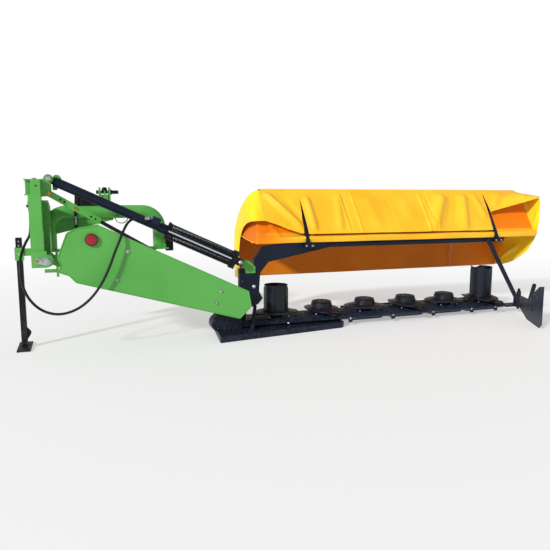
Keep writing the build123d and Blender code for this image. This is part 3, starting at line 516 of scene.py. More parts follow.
# Black rubber on the arch: the hose saddle and its strap with a bright buckle; the dark clevis pin
# and its stopper go with them. The block on the leg is a steel lug drawn in the same black rubber,
# partly as painted shade.
rubber = new_material("moulded_black_rubber")
rubber_grain = add(rubber, "TexNoise", Vector=spot(rubber), Scale=300.0)
principled(
    rubber, Base_Color=mottled(rubber, 14.0, "#0f1013", "#1b1c21"), Roughness=0.6,
    Specular_IOR_Level=0.25, Normal=bumped(rubber, 0.2, 0.0005, rubber_grain.outputs[0]),
)
STRAP_X, STRAP_HALF = -1526, 11
strap_in, strap_out = ARCH_RADIUS + 1, ARCH_RADIUS + 5
strap_ring = lathed([
    (strap_in, -STRAP_HALF), (strap_out, -STRAP_HALF), (strap_out, STRAP_HALF),
    (strap_in, STRAP_HALF), (strap_in, -STRAP_HALF),
], (STRAP_X, ARCH_Y, ARCH_Z), (1, 0, 0))
tail_side = [
    (ARCH_Y - 56, 985), (ARCH_Y - 56, 900), (ARCH_Y - 44, 800), (ARCH_Y - 41, 800),
    (ARCH_Y - 53, 900), (ARCH_Y - 53, 985),
]
strap_tail = slab([(STRAP_X - STRAP_HALF, y, z) for y, z in tail_side], (2 * STRAP_HALF, 0, 0))
saddle_low = plate((
    (-1520, 1005), (-1330, 1005), (-1330, 1040), (-1400, 1090), (-1500, 1096), (-1522, 1060),
), ARCH_Y - 24, 50)
saddle_high = plate((
    (-1536, 950), (-1512, 950), (-1500, 1060), (-1508, 1100), (-1528, 1085),
), ARCH_Y - 32, 8)
# Steel lug on the leg, drawn dark: its darkness is partly painted shade.
shaded_leg_lug = block((-846, 290, 640), (-786, 322, 800))
dark_bits = [strap_ring, strap_tail, saddle_low, saddle_high, stopper, shaded_leg_lug, *hitch_pin]
surface("arch_rubber_fittings", dark_bits, rubber, "headstock")
buckle = plate((
    (STRAP_X - 6, 925), (STRAP_X - 6, 862), (STRAP_X + 6, 862), (STRAP_X + 6, 925),
), ARCH_Y - 58, -2)
plated("strap_buckle", [buckle], "headstock")

# Weld beads round the arch's two feet, each a thin rope of metal.
BEAD_RING, FOOT_TOP = 53, 671.0
bead_turn = np.linspace(0, 2 * np.pi, 61)
beads = []
for leg_x in (-1719.5, -894.5):
    bead_x, bead_y = BEAD_RING * np.cos(bead_turn), BEAD_RING * np.sin(bead_turn)
    circle = np.stack([leg_x + bead_x, ARCH_Y + bead_y, np.full(61, FOOT_TOP)], -1)
    beads.append(swept(circle, 3.5, 8, UP))
surface("weld_beads", beads, leaf_green, "headstock")

# ---------- parking stand
# Square steel tube with a shoe plate welded to its foot, dipped in black paint. It slides in its
# sleeve on the headstock, where a pin and two small bolts hold it.
black_paint = paint("black_chassis_paint", "#14171e", "#0d1015", "#5d564b", 0.42, 0.2)
coat(black_paint, "stand_leg")
STAND_X = -1910
stand_bolts = bolts([(STAND_X, -20, z) for z in (735, 765)], BACK, 9, 5)
plated("stand_pin", stand_bolts, "parking_stand")

# ---------- belt guard and drive
# Pressed sheet-steel cover over the V-belts, with a rolled edge, held by dome nuts, and a round red
# reflector on a rubber foot. The input shaft is bare ground steel.
GUARD_OUTLINE = [
    (-1588, 829), (-1523, 859), (-1385, 882), (-323, 368), (-302, 249), (-393, 167),
    (-1540, 496), (-1582, 545), (-1649, 571), (-1631, 622), (-1652, 666), (-1633, 716),
]
GUARD_BACK = -300
EDGE_STEP = 12.0


def walked(points):
    """Distance along a line of points at each of them."""
    return np.concatenate([[0], np.cumsum(np.linalg.norm(np.diff(points, axis=0), axis=1))])


def read_off(points, far, steps):
    """Points of a line at the distances in steps, where far has the distance at each of points."""
    return np.stack([np.interp(steps, far, column) for column in np.transpose(points)], -1)


guard_rim = [(x, GUARD_BACK, z) for x, z in GUARD_OUTLINE + GUARD_OUTLINE[:1]]
rim_far = walked(guard_rim)
rim_steps = np.linspace(0, rim_far[-1], int(rim_far[-1] / EDGE_STEP) + 1)
rolled_edge = swept(read_off(guard_rim, rim_far, rim_steps), 4.0, 8)
surface("guard_rolled_edge", [rolled_edge], leaf_green, "swing_arm")


def dome_nut(centre, axis, across=17):
    """Flanged cap nut: a washer face, a plain wall and a dome."""
    corner = across / 2 / np.cos(np.pi / 6)
    arc = np.linspace(0, np.pi / 2, 7)
    dome = [(corner * 0.8 * np.cos(a), 9 + corner * 0.8 * np.sin(a)) for a in arc]
    flange = lathed([(0, 0), (across * 0.75, 0), (across * 0.75, 2), (0, 2)], centre, axis, 24)
    return [flange, lathed([(0, 2), (corner, 2), (corner, 9), *dome], centre, axis, 24)]


guard_nuts = [(-1196, 698), (-1276, 503), (-538, 383), (-574, 295)]
nut_grids = [grid for x, z in guard_nuts for grid in dome_nut((x, GUARD_BACK, z), BACK)]
plated("guard_dome_nuts", nut_grids, "swing_arm")

# Moulded acrylic with small cube corners behind it: deep clear red that breaks into facets.
red_lens = new_material("red_acrylic_reflector")
facet_node = add(red_lens, "TexVoronoi", Vector=spot(red_lens), Scale=260.0)
facets = facet_node.outputs["Distance"]
principled(
    red_lens, Base_Color=two_tone(red_lens, facets, linear("#b0141d"), linear("#6a080f")),
    Roughness=0.3, IOR=1.49, Coat_Weight=0.15, Normal=bumped(red_lens, 0.5, 0.001, facets),
)
coat(red_lens, "reflector")
REFLECTOR = np.array((-1431, -316, 785))
LENS_RADIUS, LENS_RISE = 40, 7
lens_arc = [
    (LENS_RADIUS * np.sin(a), LENS_RISE * np.cos(a)) for a in np.linspace(0.15, np.pi / 2, 9)
]
lens = lathed([(0, LENS_RISE), *lens_arc, (LENS_RADIUS, 0)], REFLECTOR, BACK, 48)
surface("reflector_lens", [lens], red_lens, "swing_arm")
lens_rim = [(38, 0), (42.5, 0), (42.5, 3.5), (40.5, 4.5), (38, 3.5), (38, 0)]
rim_grids = [lathed(lens_rim, REFLECTOR, BACK, 48)]
surface("reflector_rim", rim_grids, rubber, "swing_arm")

# Ground and splined shaft: fine turning marks round it, 1 mm apart, and a film of grease.
ground_steel = new_material("ground_shaft_steel")
turning = add(
    ground_steel, "TexWave", {"bands_direction": "Y"}, Vector=spot(ground_steel),
    Scale=180.0, Distortion=0.6,
).outputs["Fac"]
principled(
    ground_steel, Metallic=1.0, Roughness=0.3,
    Base_Color=two_tone(ground_steel, turning, linear("#8d9196"), linear("#b6babd")),
)
coat(ground_steel, "pto_shaft", "hose_coupler")
PTO_X, PTO_Z = -1330, 660
splines = [
    plate([
        (PTO_X + r * np.cos(a + s), PTO_Z + r * np.sin(a + s))
        for r, s in ((17.3, -0.16), (19.6, -0.14), (19.6, 0.14), (17.3, 0.16))
    ], 60, 52)
    for a in np.radians(np.arange(0, 360, 60))
]
surface("input_shaft_splines", splines, ground_steel, "input_shaft")

# ---------- cutterbar paint
# The mowing unit, drive housings and hydraulics are a blue-black chassis enamel, scuffed and dusty
# near the ground.
blue_black = paint("blue_black_enamel", "#172136", "#0e1524", "#45474f", 0.36, 0.2)
coat(
    blue_black, "pto_housing", "cylinder_barrel", "cutterbar", "skid_shoes", "inner_shoe",
    "tilt_gearbox", "inner_post", "outer_bracket", "swath_board", "canopy_boom",
    "outer_support_arm", "canopy_struts", "front_bar", "fold_arm_inner", "fold_arm_outer",
    "top_bar", "hose_holder",
)
disc_enamel = paint("oiled_disc_enamel", "#141b28", "#0c111b", "#3f3c3a", 0.3, 0.3)
coat(disc_enamel, "drum_inner", "drum_outer", *[f"disc_{i + 1}" for i in range(6)])

# ---------- lift cylinder and relief link
# Honed steel barrel with a screwed gland, a hard-chromed rod in a forged yoke, and coil springs of
# black oil-tempered wire beside the rod and under the relief link's channel.
BARREL_TOP = np.array((-1690, -100, 1195.0))
ROD_EYE = np.array((-335, -100, 570.0))
cylinder_way = unit(ROD_EYE - BARREL_TOP)
cylinder_side = np.array((-cylinder_way[2], 0, cylinder_way[0]))
BARREL_LENGTH, CYLINDER_LENGTH = 880, float(np.linalg.norm(ROD_EYE - BARREL_TOP))


def on_cylinder(along, out, y):
    """Point so far along the cylinder from its top pin, out across it, and y from its middle."""
    return BARREL_TOP + cylinder_way * along + cylinder_side * out + (0, y, 0)


# Collar, screwed gland, its lip and a weld band, as (distance, width, radius); they share a bore.
BORE = 22
bands = []
for distance, width, radius in (
    (60, 14, 35), (BARREL_LENGTH - 60, 56, 38), (BARREL_LENGTH - 4, 8, 30), (610, 8, 35),
):
    rim = radius - 2
    profile = [
        (BORE, 0), (rim, 0), (radius, 2), (radius, width - 2), (rim, width), (BORE, width),
        (BORE, 0),
    ]
    bands.append(lathed(profile, on_cylinder(distance, 0, 0), cylinder_way))
surface("cylinder_gland_and_bands", bands, blue_black, "lift_barrel")

# Ground hard chrome: mirror bright with the lightest haze of oil, up to the black forged yoke.
yoke_start, yoke_end = CYLINDER_LENGTH - 75, CYLINDER_LENGTH + 20
yoke_edge = float(place(on_cylinder(yoke_start, 0, 0)) @ cylinder_way)
chrome = new_material("hard_chrome_plate")
along_rod = add(
    chrome, "VectorMath", {"operation": "DOT_PRODUCT"}, i0=spot(chrome),
    i1=tuple(cylinder_way),
)
forged = ramp(chrome, along_rod.outputs["Value"], yoke_edge, yoke_edge + 0.001)
haze = ramp(chrome, speckle(chrome, 12.0), 0.0, 1.0, 0.1, 0.2)
principled(
    chrome, Base_Color=two_tone(chrome, forged, linear("#d4d9e2"), linear("#14171e")),
    Metallic=maths(chrome, "SUBTRACT", 1.0, forged),
    Roughness=maths(chrome, "MAXIMUM", haze, maths(chrome, "MULTIPLY", forged, 0.42)),
)
coat(chrome, "cylinder_rod")
yoke_side = [
    (yoke_start, -66), (yoke_start + 14, -66), (yoke_start + 30, -32), (yoke_end, -26),
    (yoke_end, 26), (yoke_start + 30, 32), (yoke_start + 14, 66), (yoke_start, 66),
]
yoke = slab([on_cylinder(along, out, -28) for along, out in yoke_side], (0, 50, 0))
surface("rod_yoke", [yoke], black_paint, "lift_rod")
plated("rod_eye_bolt", hex_bolt(ROD_EYE + (0, -28, 0), BACK, 26, 14), "lift_rod")

PORT = np.array((-1030, -160, 920.0))
ferrule = [(0, -4), (13, -4), (13, 26), (10, 28), (10, 34), (0, 34)]
fitting = [
    lathed(ferrule, PORT + (4, 0, 0), (-1, 0, 0), 24),
    *hex_bolt(PORT + (30, 0, 0), (-1, 0, 0), 26, 14),
]
plated("hose_ferrule", fitting, "lift_barrel")

# Oil-tempered wire under black stoving paint: dark satin in two close tones.
spring_wire = plain(
    "oil_tempered_spring_wire", 50.0, "#0b0d12", "#1c2028", Roughness=0.38,
    Specular_IOR_Level=0.3,
)


def coil(start, end, radius, wire, turns, steps=14):
    """Helix of wire between two points, with the end turns closed up flat against their seats."""
    start, end = np.asarray(start, float), np.asarray(end, float)
    side, up, way = frame_of(end - start)
    length = np.linalg.norm(end - start) - wire
    turn = np.linspace(0, turns, int(turns * steps) + 1)
    rise = [0, wire / 2, length - wire / 2, length]
    travel = np.interp(turn, [0, 1, turns - 1, turns], rise) + wire / 2
    ring = side * np.cos(2 * np.pi * turn)[:, None] + up * np.sin(2 * np.pi * turn)[:, None]
    return swept(start + way * travel[:, None] + ring * radius, wire / 2, 8, way)


# The side springs reach from the barrel's perch to the yoke and shorten by the rod's travel.
spring_foot = BARREL_LENGTH + 6
spring_length = yoke_start - BARREL_LENGTH - 6
spring_starts = [on_cylinder(spring_foot, out, -26) for out in (-37, 37)]
side_coils = [coil(s, s + cylinder_way * spring_length, 20, 9, 48) for s in spring_starts]
side_springs = surface("side_coil_springs", side_coils, spring_wire, "lift_barrel")
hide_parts("side_springs")
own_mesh(side_springs)
perch = slab([
    on_cylinder(BARREL_LENGTH - 6 + along, out, -48)
    for along, out in ((0, -66), (0, 66), (11, 66), (11, -66))
], (0, 62, 0))
surface("spring_perch", [perch], black_paint, "lift_barrel")

# The relief link's spring lies in the open channel and runs on to a rod with an eye.
LINK_TOP = np.array((-1690, -108, 1096.0))
LINK_SLOPE = np.radians(-31)
link_way = np.array((np.cos(LINK_SLOPE), 0, np.sin(LINK_SLOPE)))
LINK_LENGTH, CHANNEL_LENGTH = 1000, 385
link_start = LINK_TOP + link_way * (CHANNEL_LENGTH - 25)
link_bottom = LINK_TOP + link_way * (LINK_LENGTH - 34)
link_eye = LINK_TOP + link_way * LINK_LENGTH
link_coil = coil(link_start, link_bottom, 11.5, 8, 64)
link_spring = surface("relief_coil_spring", [link_coil], spring_wire, "relief_spring")
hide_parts("link_spring")
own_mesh(link_spring)
eye_ring = [(8, -10), (17, -10), (18, -8), (18, 8), (17, 10), (8, 10), (8, -10)]
eye_bits = [
    swept([link_bottom - link_way * 60, link_eye - link_way * 14], 6.5, 12),
    lathed(eye_ring, link_eye, (0, 1, 0), 32),
]
surface("relief_link_eye", eye_bits, spring_wire, "relief_spring")

# Wear strips of black rubber, glued inside the channel's far wall, which the spring slides along.
link_drop = np.array((link_way[2], 0, -link_way[0]))
wear_strips = [
    slab([
        LINK_TOP + link_way * along + link_drop * down + (0, 15.9, 0)
        for along, down in ((start, -11), (end, -11), (end, 11), (start, 11))
    ], (0, 1.0, 0))
    for start, end in ((62, 132), (292, 365))
]
surface("channel_wear_strips", wear_strips, rubber, "relief_link")
link_bolts = bolts([LINK_TOP + link_way * a + (0, -22, 0) for a in (190, 205)], BACK, 13, 7)
surface("link_joint_bolts", link_bolts, brass, "relief_link")

# ---------- cutterbar, discs and drums
# Closed oil-filled gear case with a cap screw and a lug at every spindle, pressed discs with domed
# hubs and hardened knives, and a rolled crop drum with stiffening ribs at each end.
BAR_TOP, BAR_REAR, DRUM_FOOT, DISC_RIM = 104, -140, 152, 130
LAST_DISC, SCREW_CIRCLE, EAR_CIRCLE = 5, 44, 77
# Crop juice and heat turn the tops of drums, knives and hubs a rusty brown over bare steel.
tops_rust = plain("worn_brown_steel", 22.0, "#5a3a28", "#2e2320", 6.0, Metallic=0.3, Roughness=0.62)

bolt_grids, lug_grids = [], []
for x in (60, *[disc_pitch * (i + 0.5) for i in range(1, LAST_DISC)], 2110):
    bolt_grids += [pin_head((x, BAR_REAR, 62), BACK, 9, 8)]
    lug_grids += [block((x - 16, BAR_REAR - 12, 30), (x + 16, BAR_REAR, 50))]
for i in range(LAST_DISC + 1):
    corners = ((-84, -84), (84, -84), (84, 84), (-84, 84))
    bolt_grids += bolts([(i * disc_pitch + x, y, BAR_TOP) for x, y in corners], UP, 13, 6)
plated("cutterbar_bolts", bolt_grids, "mowing_unit")
surface("cutterbar_lugs", lug_grids, blue_black, "mowing_unit")


def around(count, start=0.0):
    """Angles evenly round a circle."""
    return start + np.arange(count) * 2 * np.pi / count


def polar(centre, radius, angle, height):
    """Point at a radius, an angle and a height about the upright axis through centre."""
    return centre + (radius * np.cos(angle), radius * np.sin(angle), height)


# Pressed discs: a raised ring round six cap screws, and two fins that carry the crop outwards.
hub_ring = [(60, 6), (82, 0), (84, 5), (80, 11), (66, 14), (60, 12), (60, 6)]
fin_root, fin_tip = (96, DRUM_FOOT - 2), (150, DISC_RIM + 10)
fin = [(*fin_root, -0.05), (*fin_tip, -0.03), (*fin_tip, 0.03), (*fin_root, 0.05)]
for i in range(1, LAST_DISC):
    middle = np.array((i * disc_pitch, 0, 0.0))
    ring = lathed(hub_ring, middle + (0, 0, DRUM_FOOT + 38), UP, 48)
    screw_places = [polar(middle, SCREW_CIRCLE, a, DRUM_FOOT + 48) for a in around(6)]
    fins = [
        slab([polar(middle, r, a + s, z) for r, z, s in fin], (0, 0, 6))
        for a in around(2, (i % 2) * np.pi / 2)
    ]
    surface(f"disc_{i + 1}_hub_ring", [ring, *fins], disc_enamel, f"rotor_{i + 1}")
    screws = bolts(screw_places, UP, 11, 6)
    surface(f"disc_{i + 1}_hub_screws", screws, tops_rust, f"rotor_{i + 1}")

# Rolled drums: eight ribs up the wall, a foot flange, a floor inside, and ears with bolts near the
# top. The wall is cut away by scoop on two sides.
flange = [(95, 0), (112, 0), (112, 4), (97, 7), (95, 7), (95, 0)]
for i, top, node, scoop, bolt_turns in (
    (0, 362, "drum_inner", 8, (-0.35 * np.pi, -0.75 * np.pi)),
    (LAST_DISC, 428, "drum_outer", 58, around(4, np.pi / 4)),
):
    middle = np.array((i * disc_pitch, 0, 0.0))
    foot, floor_rim = DRUM_FOOT + 4, top - DRUM_FOOT - 70
    ribs = [
        slab([
            polar(middle, r, a + s, foot)
            for r, s in ((95.5, -0.07), (101, -0.03), (101, 0.03), (95.5, 0.07))
        ], (0, 0, (top - 24 if abs(np.sin(a)) < 0.7 else top - scoop) - foot))
        for a in around(8, np.pi / 8)
    ]
    collar = lathed(flange, middle + (0, 0, DRUM_FOOT), UP, 48)
    surface(f"{node}_ribs", [*ribs, collar], disc_enamel, f"rotor_{i + 1}")
    inside = lathed([
        (22, 0), (88, 0), (88.6, 4), (88.6, floor_rim), (87, floor_rim), (87, 3), (22, 3), (22, 0),
    ], middle + (0, 0, DRUM_FOOT + 8), UP, 48)
    ears = [
        slab([
            polar(middle, r, a + s, top - 34)
            for r, s in ((89, -0.16), (68, -0.16), (64, 0), (68, 0.16), (89, 0.16))
        ], (0, 0, 6))
        for a in bolt_turns
    ]
    ear_places = [polar(middle, EAR_CIRCLE, a, top - 28) for a in bolt_turns]
    surface(f"{node}_floor", [inside, *ears], tops_rust, f"rotor_{i + 1}")
    plated(f"{node}_bolts", bolts(ear_places, UP, 15, 8), f"rotor_{i + 1}")

# Hardware of the post, gearbox and boom: worn cap screws on the bevel gearbox, one through bolt on
# the post, and the two-bolt clamps that hold the folding frame's ears to the boom.
GEARBOX_REAR, POST_REAR = -140, -48
stud_grids = [
    grid for x, z, across in (
        (-522, 60, 13), (-497, 150, 12), (-470, 58, 15), (-452, 148, 11), (-431, 62, 12),
        (-406, 146, 14), (-378, 57, 12), (-372, 150, 12),
    )
    for grid in hex_bolt((x, GEARBOX_REAR, z), BACK, across, 7)
]
stud_grids += hex_bolt((-300, POST_REAR, 405), BACK, 17, 7)
surface("gearbox_studs", stud_grids, tops_rust, "mowing_unit")
gearbox_profile = [(0, 0), (58, 0), (66, 8), (66, 100), (0, 100)]
gearbox_end = lathed(gearbox_profile, (-508, -138, 98), (0, 1, 0))
surface("gearbox_end_cap", [gearbox_end], blue_black, "mowing_unit")
unit_bolts = hex_bolt((-204, POST_REAR, 362), BACK, 22, 11)
for ear_x in (250, 2135):
    unit_bolts += hex_bolt((ear_x + 34, -95, 680), (1, 0, 0), 18, 9)
    unit_bolts += bolts([(x, -109, 680) for x in (ear_x - 26, ear_x + 26)], BACK, 13, 6)
plated("mowing_unit_bolts", unit_bolts, "mowing_unit")

# Swath board: a moulded rubber buffer stands behind it, and a round bar stiffens its top edge.
buffer_way = np.array((51.0, 0, 171))
buffer_foot = np.array((2399, -250, 100.0))
steps = np.linspace(0, 1, 25)
BUFFER_RINGS = 7
ring_swell = 4.5 * np.sin(steps * BUFFER_RINGS * np.pi) ** 2
buffer_wall = np.stack([16 + ring_swell, steps * 165], -1)
buffer_profile = np.concatenate([[(0, 0)], buffer_wall, [(19, 176), (11, 184), (0, 186)]])
buffer = lathed(buffer_profile, buffer_foot, buffer_way, 24)
surface("swath_buffer", [buffer], rubber, "mowing_unit")
BOARD_TURN = np.radians(242)
board_along = np.array((np.cos(BOARD_TURN), np.sin(BOARD_TURN), 0))
board_normal = unit(np.array((np.sin(BOARD_TURN), -np.cos(BOARD_TURN), 0)))
hinge = np.array((2330, -190, 0.0))
rail = [hinge + board_along * d + (0, 0, z) for d, z in (
    (38, 170), (290, 181), (600, 336), (696, 351),
)]
board_bolts = [hinge + board_along * d + board_normal * 3 + (0, 0, z) for d, z in (
    (120, 90), (120, 145), (420, 110), (420, 220),
)]
swath_bits = [swept(rail, 5.5, 10, UP), *bolts(board_bolts, board_normal, 14, 6)]
surface("swath_board_rail", swath_bits, blue_black, "swath_guide")

# ---------- canopy
# Safety cover of PVC-coated polyester, a bright golden yellow with a darker orange back that is
# partly painted shade, sewn from panels with doubled hems. It drapes over the front bar and hangs
# from the folding frame's top bar.
FOLD_HINGE = np.array((-95.0, 680.0))
TOP_BAR = np.array((170.0, 1120.0))
frame_span = float(np.linalg.norm(TOP_BAR - FOLD_HINGE))
frame_way = (TOP_BAR - FOLD_HINGE) / frame_span
frame_rear = np.array((-frame_way[1], frame_way[0]))
CLOTH_THICKNESS = 0.0016


def cloth_paint(name, light, dark, rough, shade_band=None):
    """Coated cloth: two close yellows in broad faded clouds, a plain weave 1.2 mm apart pressing
    through the coating, faint creases, and a soft plastic sheen. UV is in metres along the cloth;
    shade_band gives a height along it, the colour of painted shade the cloth has past that height,
    and the width of the end piece that is all painted shade."""
    material = new_material(name)
    flat = add(material, "UVMap", {"uv_map": "cut"}).outputs[0]
    tone = mottled(material, 3.0, dark, light, 4.0, 0.3, 0.7)
    # Painted shade: a darker colour past a height along the cloth and over one end of it.
    if shade_band:
        height, colour, width = shade_band
        along = add(material, "SeparateXYZ", i0=flat).outputs
        past = ramp(material, along["Y"], height, height + 0.03)
        near_end = ramp(material, along["X"], width, width + 0.3, 0.9, 0.0)
        shade_share = maths(material, "MAXIMUM", past, near_end)
        tone = two_tone(material, shade_share, tone, linear(colour))
    warp, weft = [
        add(material, "TexWave", {"bands_direction": way}, Vector=flat, Scale=130.0)
        for way in "XY"
    ]
    weave = maths(material, "ADD", warp.outputs["Fac"], weft.outputs["Fac"])
    crush = add(material, "TexNoise", Vector=flat, Scale=7.0, Detail=5.0, Distortion=0.6)
    fine = bumped(material, 0.1, 0.0003, weave)
    return principled(
        material, Base_Color=tone, Roughness=rough, Specular_IOR_Level=0.25, Sheen_Weight=0.04,
        Normal=bumped(material, 0.16, 0.012, crush.outputs[0], Normal=fine),
    )


# The face is gold and its back a darker orange, partly painted shade for the inside of the cover.
# The end cloths are a paler lemon, a painted highlight for the low sun on them, and their backs
# carry painted shade.
yellow = cloth_paint("yellow_coated_cloth", "#ffc72c", "#f7b41e", 0.46)
# Back of the cloth: a darker orange, partly painted shade for the inside of the cover.
orange = cloth_paint("cloth_back_painted_shade", "#dd7e08", "#cd7204", 0.6)
# End cloths' face: a paler lemon copy of the yellow, a painted highlight of the low sun on the
# ends.
lemon = cloth_paint("end_cloth_painted_sunlit", "#ffe126", "#fbd322", 0.46)
# Fold cover's face: yellow on the bottom roll, painted shade in orange above it and near the inner
# end.
inner_lining = cloth_paint(
    "fold_cloth_painted_shade", "#ffc72c", "#f7b41e", 0.5, (0.052, "#ee7c02", -0.12),
)
# Inner end cloth's back: orange painted shade for the inside of the cover.
end_lining = cloth_paint("end_cloth_back_painted_shade", "#ec7a05", "#e07204", 0.55)
# Outer end cloth's back: lemon as painted sunlight, fading to orange painted shade toward its front
# end.
outer_lining = cloth_paint(
    "end_cloth_back_painted_sunlit_and_shade", "#ffe126", "#fbd322", 0.46, (1.2, "#ee9410", 0.12),
)


def ease(value, start, end):
    """Smooth step from 0 at start to 1 at end."""
    t = np.clip((np.asarray(value, float) - start) / (end - start), 0, 1)
    return t * t * (3 - 2 * t)


def ridge(s, t, start, end, width, height):
    """Raised line on the cloth from start to end in its own millimetres, with soft ends; a negative
    height makes a furrow. Distance to the segment gives a rounded profile."""
    start, end = np.asarray(start, float), np.asarray(end, float)
    run = end - start
    share = np.clip(((s - start[0]) * run[0] + (t - start[1]) * run[1]) / (run @ run), 0, 1)
    gap = np.hypot(s - start[0] - share * run[0], t - start[1] - share * run[1])
    return height * np.exp(-(gap / width) ** 2) * ease(share, -0.05, 0.15) * ease(share, 1.05, 0.85)


def ridges(s, t, lines, height=0):
    """Adds ridges to a height; each line is the start, end, width and height of one."""
    for line in lines:
        height = height + ridge(s, t, *line)
    return height


def normals_of(grid):
    """Unit normals of a grid, from the differences along its rows and columns."""
    rows, columns = np.gradient(grid, axis=0), np.gradient(grid, axis=1)
    return unit(np.cross(rows, columns))


def cloth(name, panels, body, face, back, replaced):
    """Sheet of cloth from grids of points in millimetres whose rows by columns face outwards. Each
    panel is (grid, s, t): s and t are the flat cut's millimetres, used for the UV and the area."""
    mesh = grid_mesh(name, [grid for grid, s, t in panels])
    cut = np.concatenate([np.stack([s, t], -1).reshape(-1, 2) for grid, s, t in panels]) / 1000
    corner = np.empty(len(mesh.loops), int)
    mesh.loops.foreach_get("vertex_index", corner)
    mesh.uv_layers.new(name="cut").data.foreach_set("uv", cut[corner].ravel())
    weld(mesh, 2e-5, False)
    mesh.materials.append(face)
    mesh.materials.append(back)
    piece = put(name, mesh)
    thickness = piece.modifiers.new("coated_cloth", "SOLIDIFY")
    thickness.thickness = CLOTH_THICKNESS
    thickness.offset = 0
    thickness.material_offset = 1
    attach(piece, body)
    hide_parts(*replaced)
    area = 0.0
    for grid, s, t in panels:
        down, over = np.diff(grid, axis=0)[:, :-1], np.diff(grid, axis=1)[:-1]
        area += float(np.linalg.norm(np.cross(down, over), axis=-1).sum())
    area /= 1e6  # square millimetres to square metres
    width, length = cut.max(0) - cut.min(0)
    if area > width * length:
        width = area / length
    return piece


# Front cover: from the front hem up over the front bar and back over the struts to the boom tube,
# where it rolls down behind. Its seams stand a little proud and the hem is doubled.
FRONT_Y, FRONT_TOP, FRONT_HEM = 507, 757, 366
front_line = [
    (FRONT_Y, FRONT_HEM), (FRONT_Y, 560), (FRONT_Y, 728), (FRONT_Y - 7, 748),
    (FRONT_Y - 26, FRONT_TOP - 2), (300, 742), (120, 724), (4, 715), (-22, 709),
]
front_x = np.linspace(-209, 2638, 240)
front_far = walked(front_line)
front_steps = np.concatenate([np.linspace(0, front_far[-1], 90), np.linspace(340, 420, 24)])
front_steps = np.unique(front_steps)
front_yz = read_off(front_line, front_far, front_steps)
front_s, front_t = np.meshgrid(front_x, front_steps)
front_grid = np.stack([front_s, front_yz[:, :1] + 0 * front_s, front_yz[:, 1:] + 0 * front_s], -1)
on_drop = ease(front_t, 355, 300)
drop_wave = on_drop * (
    3.5 + 3.0 * np.sin(front_s / 210 + 1.2) + 1.8 * np.sin(front_s / 83 + front_t / 190)
)
seams = ridges(front_s, front_t, (
    ((737, -40), (737, 380), 5, 4.5), ((2058, -40), (2058, 380), 5, 4.5),
    ((-209, 34), (2633, 34), 4, 2.2),
))
diagonal = ridges(front_s, front_t, (
    ((2060, 20), (2190, 360), 60, 9), ((1620, 60), (1560, 330), 70, 6),
))
on_top = np.sin(np.pi * np.clip((front_t - 420) / 420, 0, 1)) * (front_t > 420)
sag = -9 * on_top * (0.5 + 0.5 * np.cos(front_s / 300))
front_lift = drop_wave + seams + on_drop * diagonal + 0.2 * sag
front_grid = front_grid + normals_of(front_grid) * front_lift[..., None]
cloth(
    "front_cover", [(front_grid, front_s, front_t)], "mowing_unit", yellow, orange,
    ["front_top_sheet", "front_curtain"],
)

# A fibreglass batten in a pocket stiffens the front cover near its outer end.
batten_paint = plain("pultruded_fibreglass_rod", 40.0, "#d6a08e", "#c58e7a", Roughness=0.45)
batten = swept([(2058, 495, 366), (2058, 495, 609)], 5, 12)
surface("front_cover_batten", [batten], batten_paint, "mowing_unit")

# Fold cover: the sheet on the front of the folding frame, seen from behind below the rear curtain,
# where it bellies out over the boom.
fold_t = np.linspace(-22, frame_span - 56, 80)
fold_uu, fold_tt = np.meshgrid(np.linspace(0, 1, 200), fold_t)
inner_edge = -183 + 96 * fold_tt / fold_t[-1]
fold_s = inner_edge + (2608 - inner_edge) * fold_uu
belly = 10 * np.sin(np.pi * np.clip(fold_tt / 440, 0, 1)) * (0.7 + 0.3 * np.sin(fold_s / 160))
roll = (
    (30 + 4 * np.sin(fold_s / 120)) * np.exp(-((fold_tt - 12) / 26) ** 2)
    - 7 * np.exp(-((fold_tt - 60) / 16) ** 2)
)
out = -18.5 - belly + roll * (0.15 + 0.85 * ease(fold_s, -150, 160))
up_frame = 58 + fold_tt
fold_grid = np.stack([
    fold_s,
    FOLD_HINGE[0] + frame_way[0] * up_frame + frame_rear[0] * out,
    FOLD_HINGE[1] + frame_way[1] * up_frame + frame_rear[1] * out,
], -1)[::-1]
fold_s, fold_tt = fold_s[::-1], fold_tt[::-1]
fold_bumps = ridges(fold_s, fold_tt, (
    ((-120, 60), (120, 200), 22, -8), ((30, 20), (-60, 220), 18, 6),
))
fold_grid = fold_grid + normals_of(fold_grid) * (fold_bumps * (fold_tt > 15))[..., None]
# The fold cover's face is painted shade in orange above its bottom roll and near its inner end,
# under the rear curtain.
cloth(
    "fold_cover", [(fold_grid, fold_s, fold_tt)], "folding_frame", inner_lining, orange,
    ["fold_sheet"],
)

# Rear curtain: wraps the top bar in a sleeve and hangs behind the frame, slit where the two arms
# pass through. Its hem rises in an arch at the inner end and is cut back at the outer end.
WRAP = 18.6
INNER_EDGE, OUTER_EDGE = -85, 2632
FLARE = np.array((4, -164, 19.0))
HEM_X = [INNER_EDGE, 0, 90, 200, 290, 1960, 2114, 2124, 2300, 2620]
HEM_DROPS = [293, 326, 370, 409, 417, 420, 418, 238, 188, 96]
SLEEVE_ROWS, FALL_ROWS = 12, 90


def hem_drop(x):
    """Distance from the top bar's axis down to the hem."""
    return np.interp(x, HEM_X, HEM_DROPS)


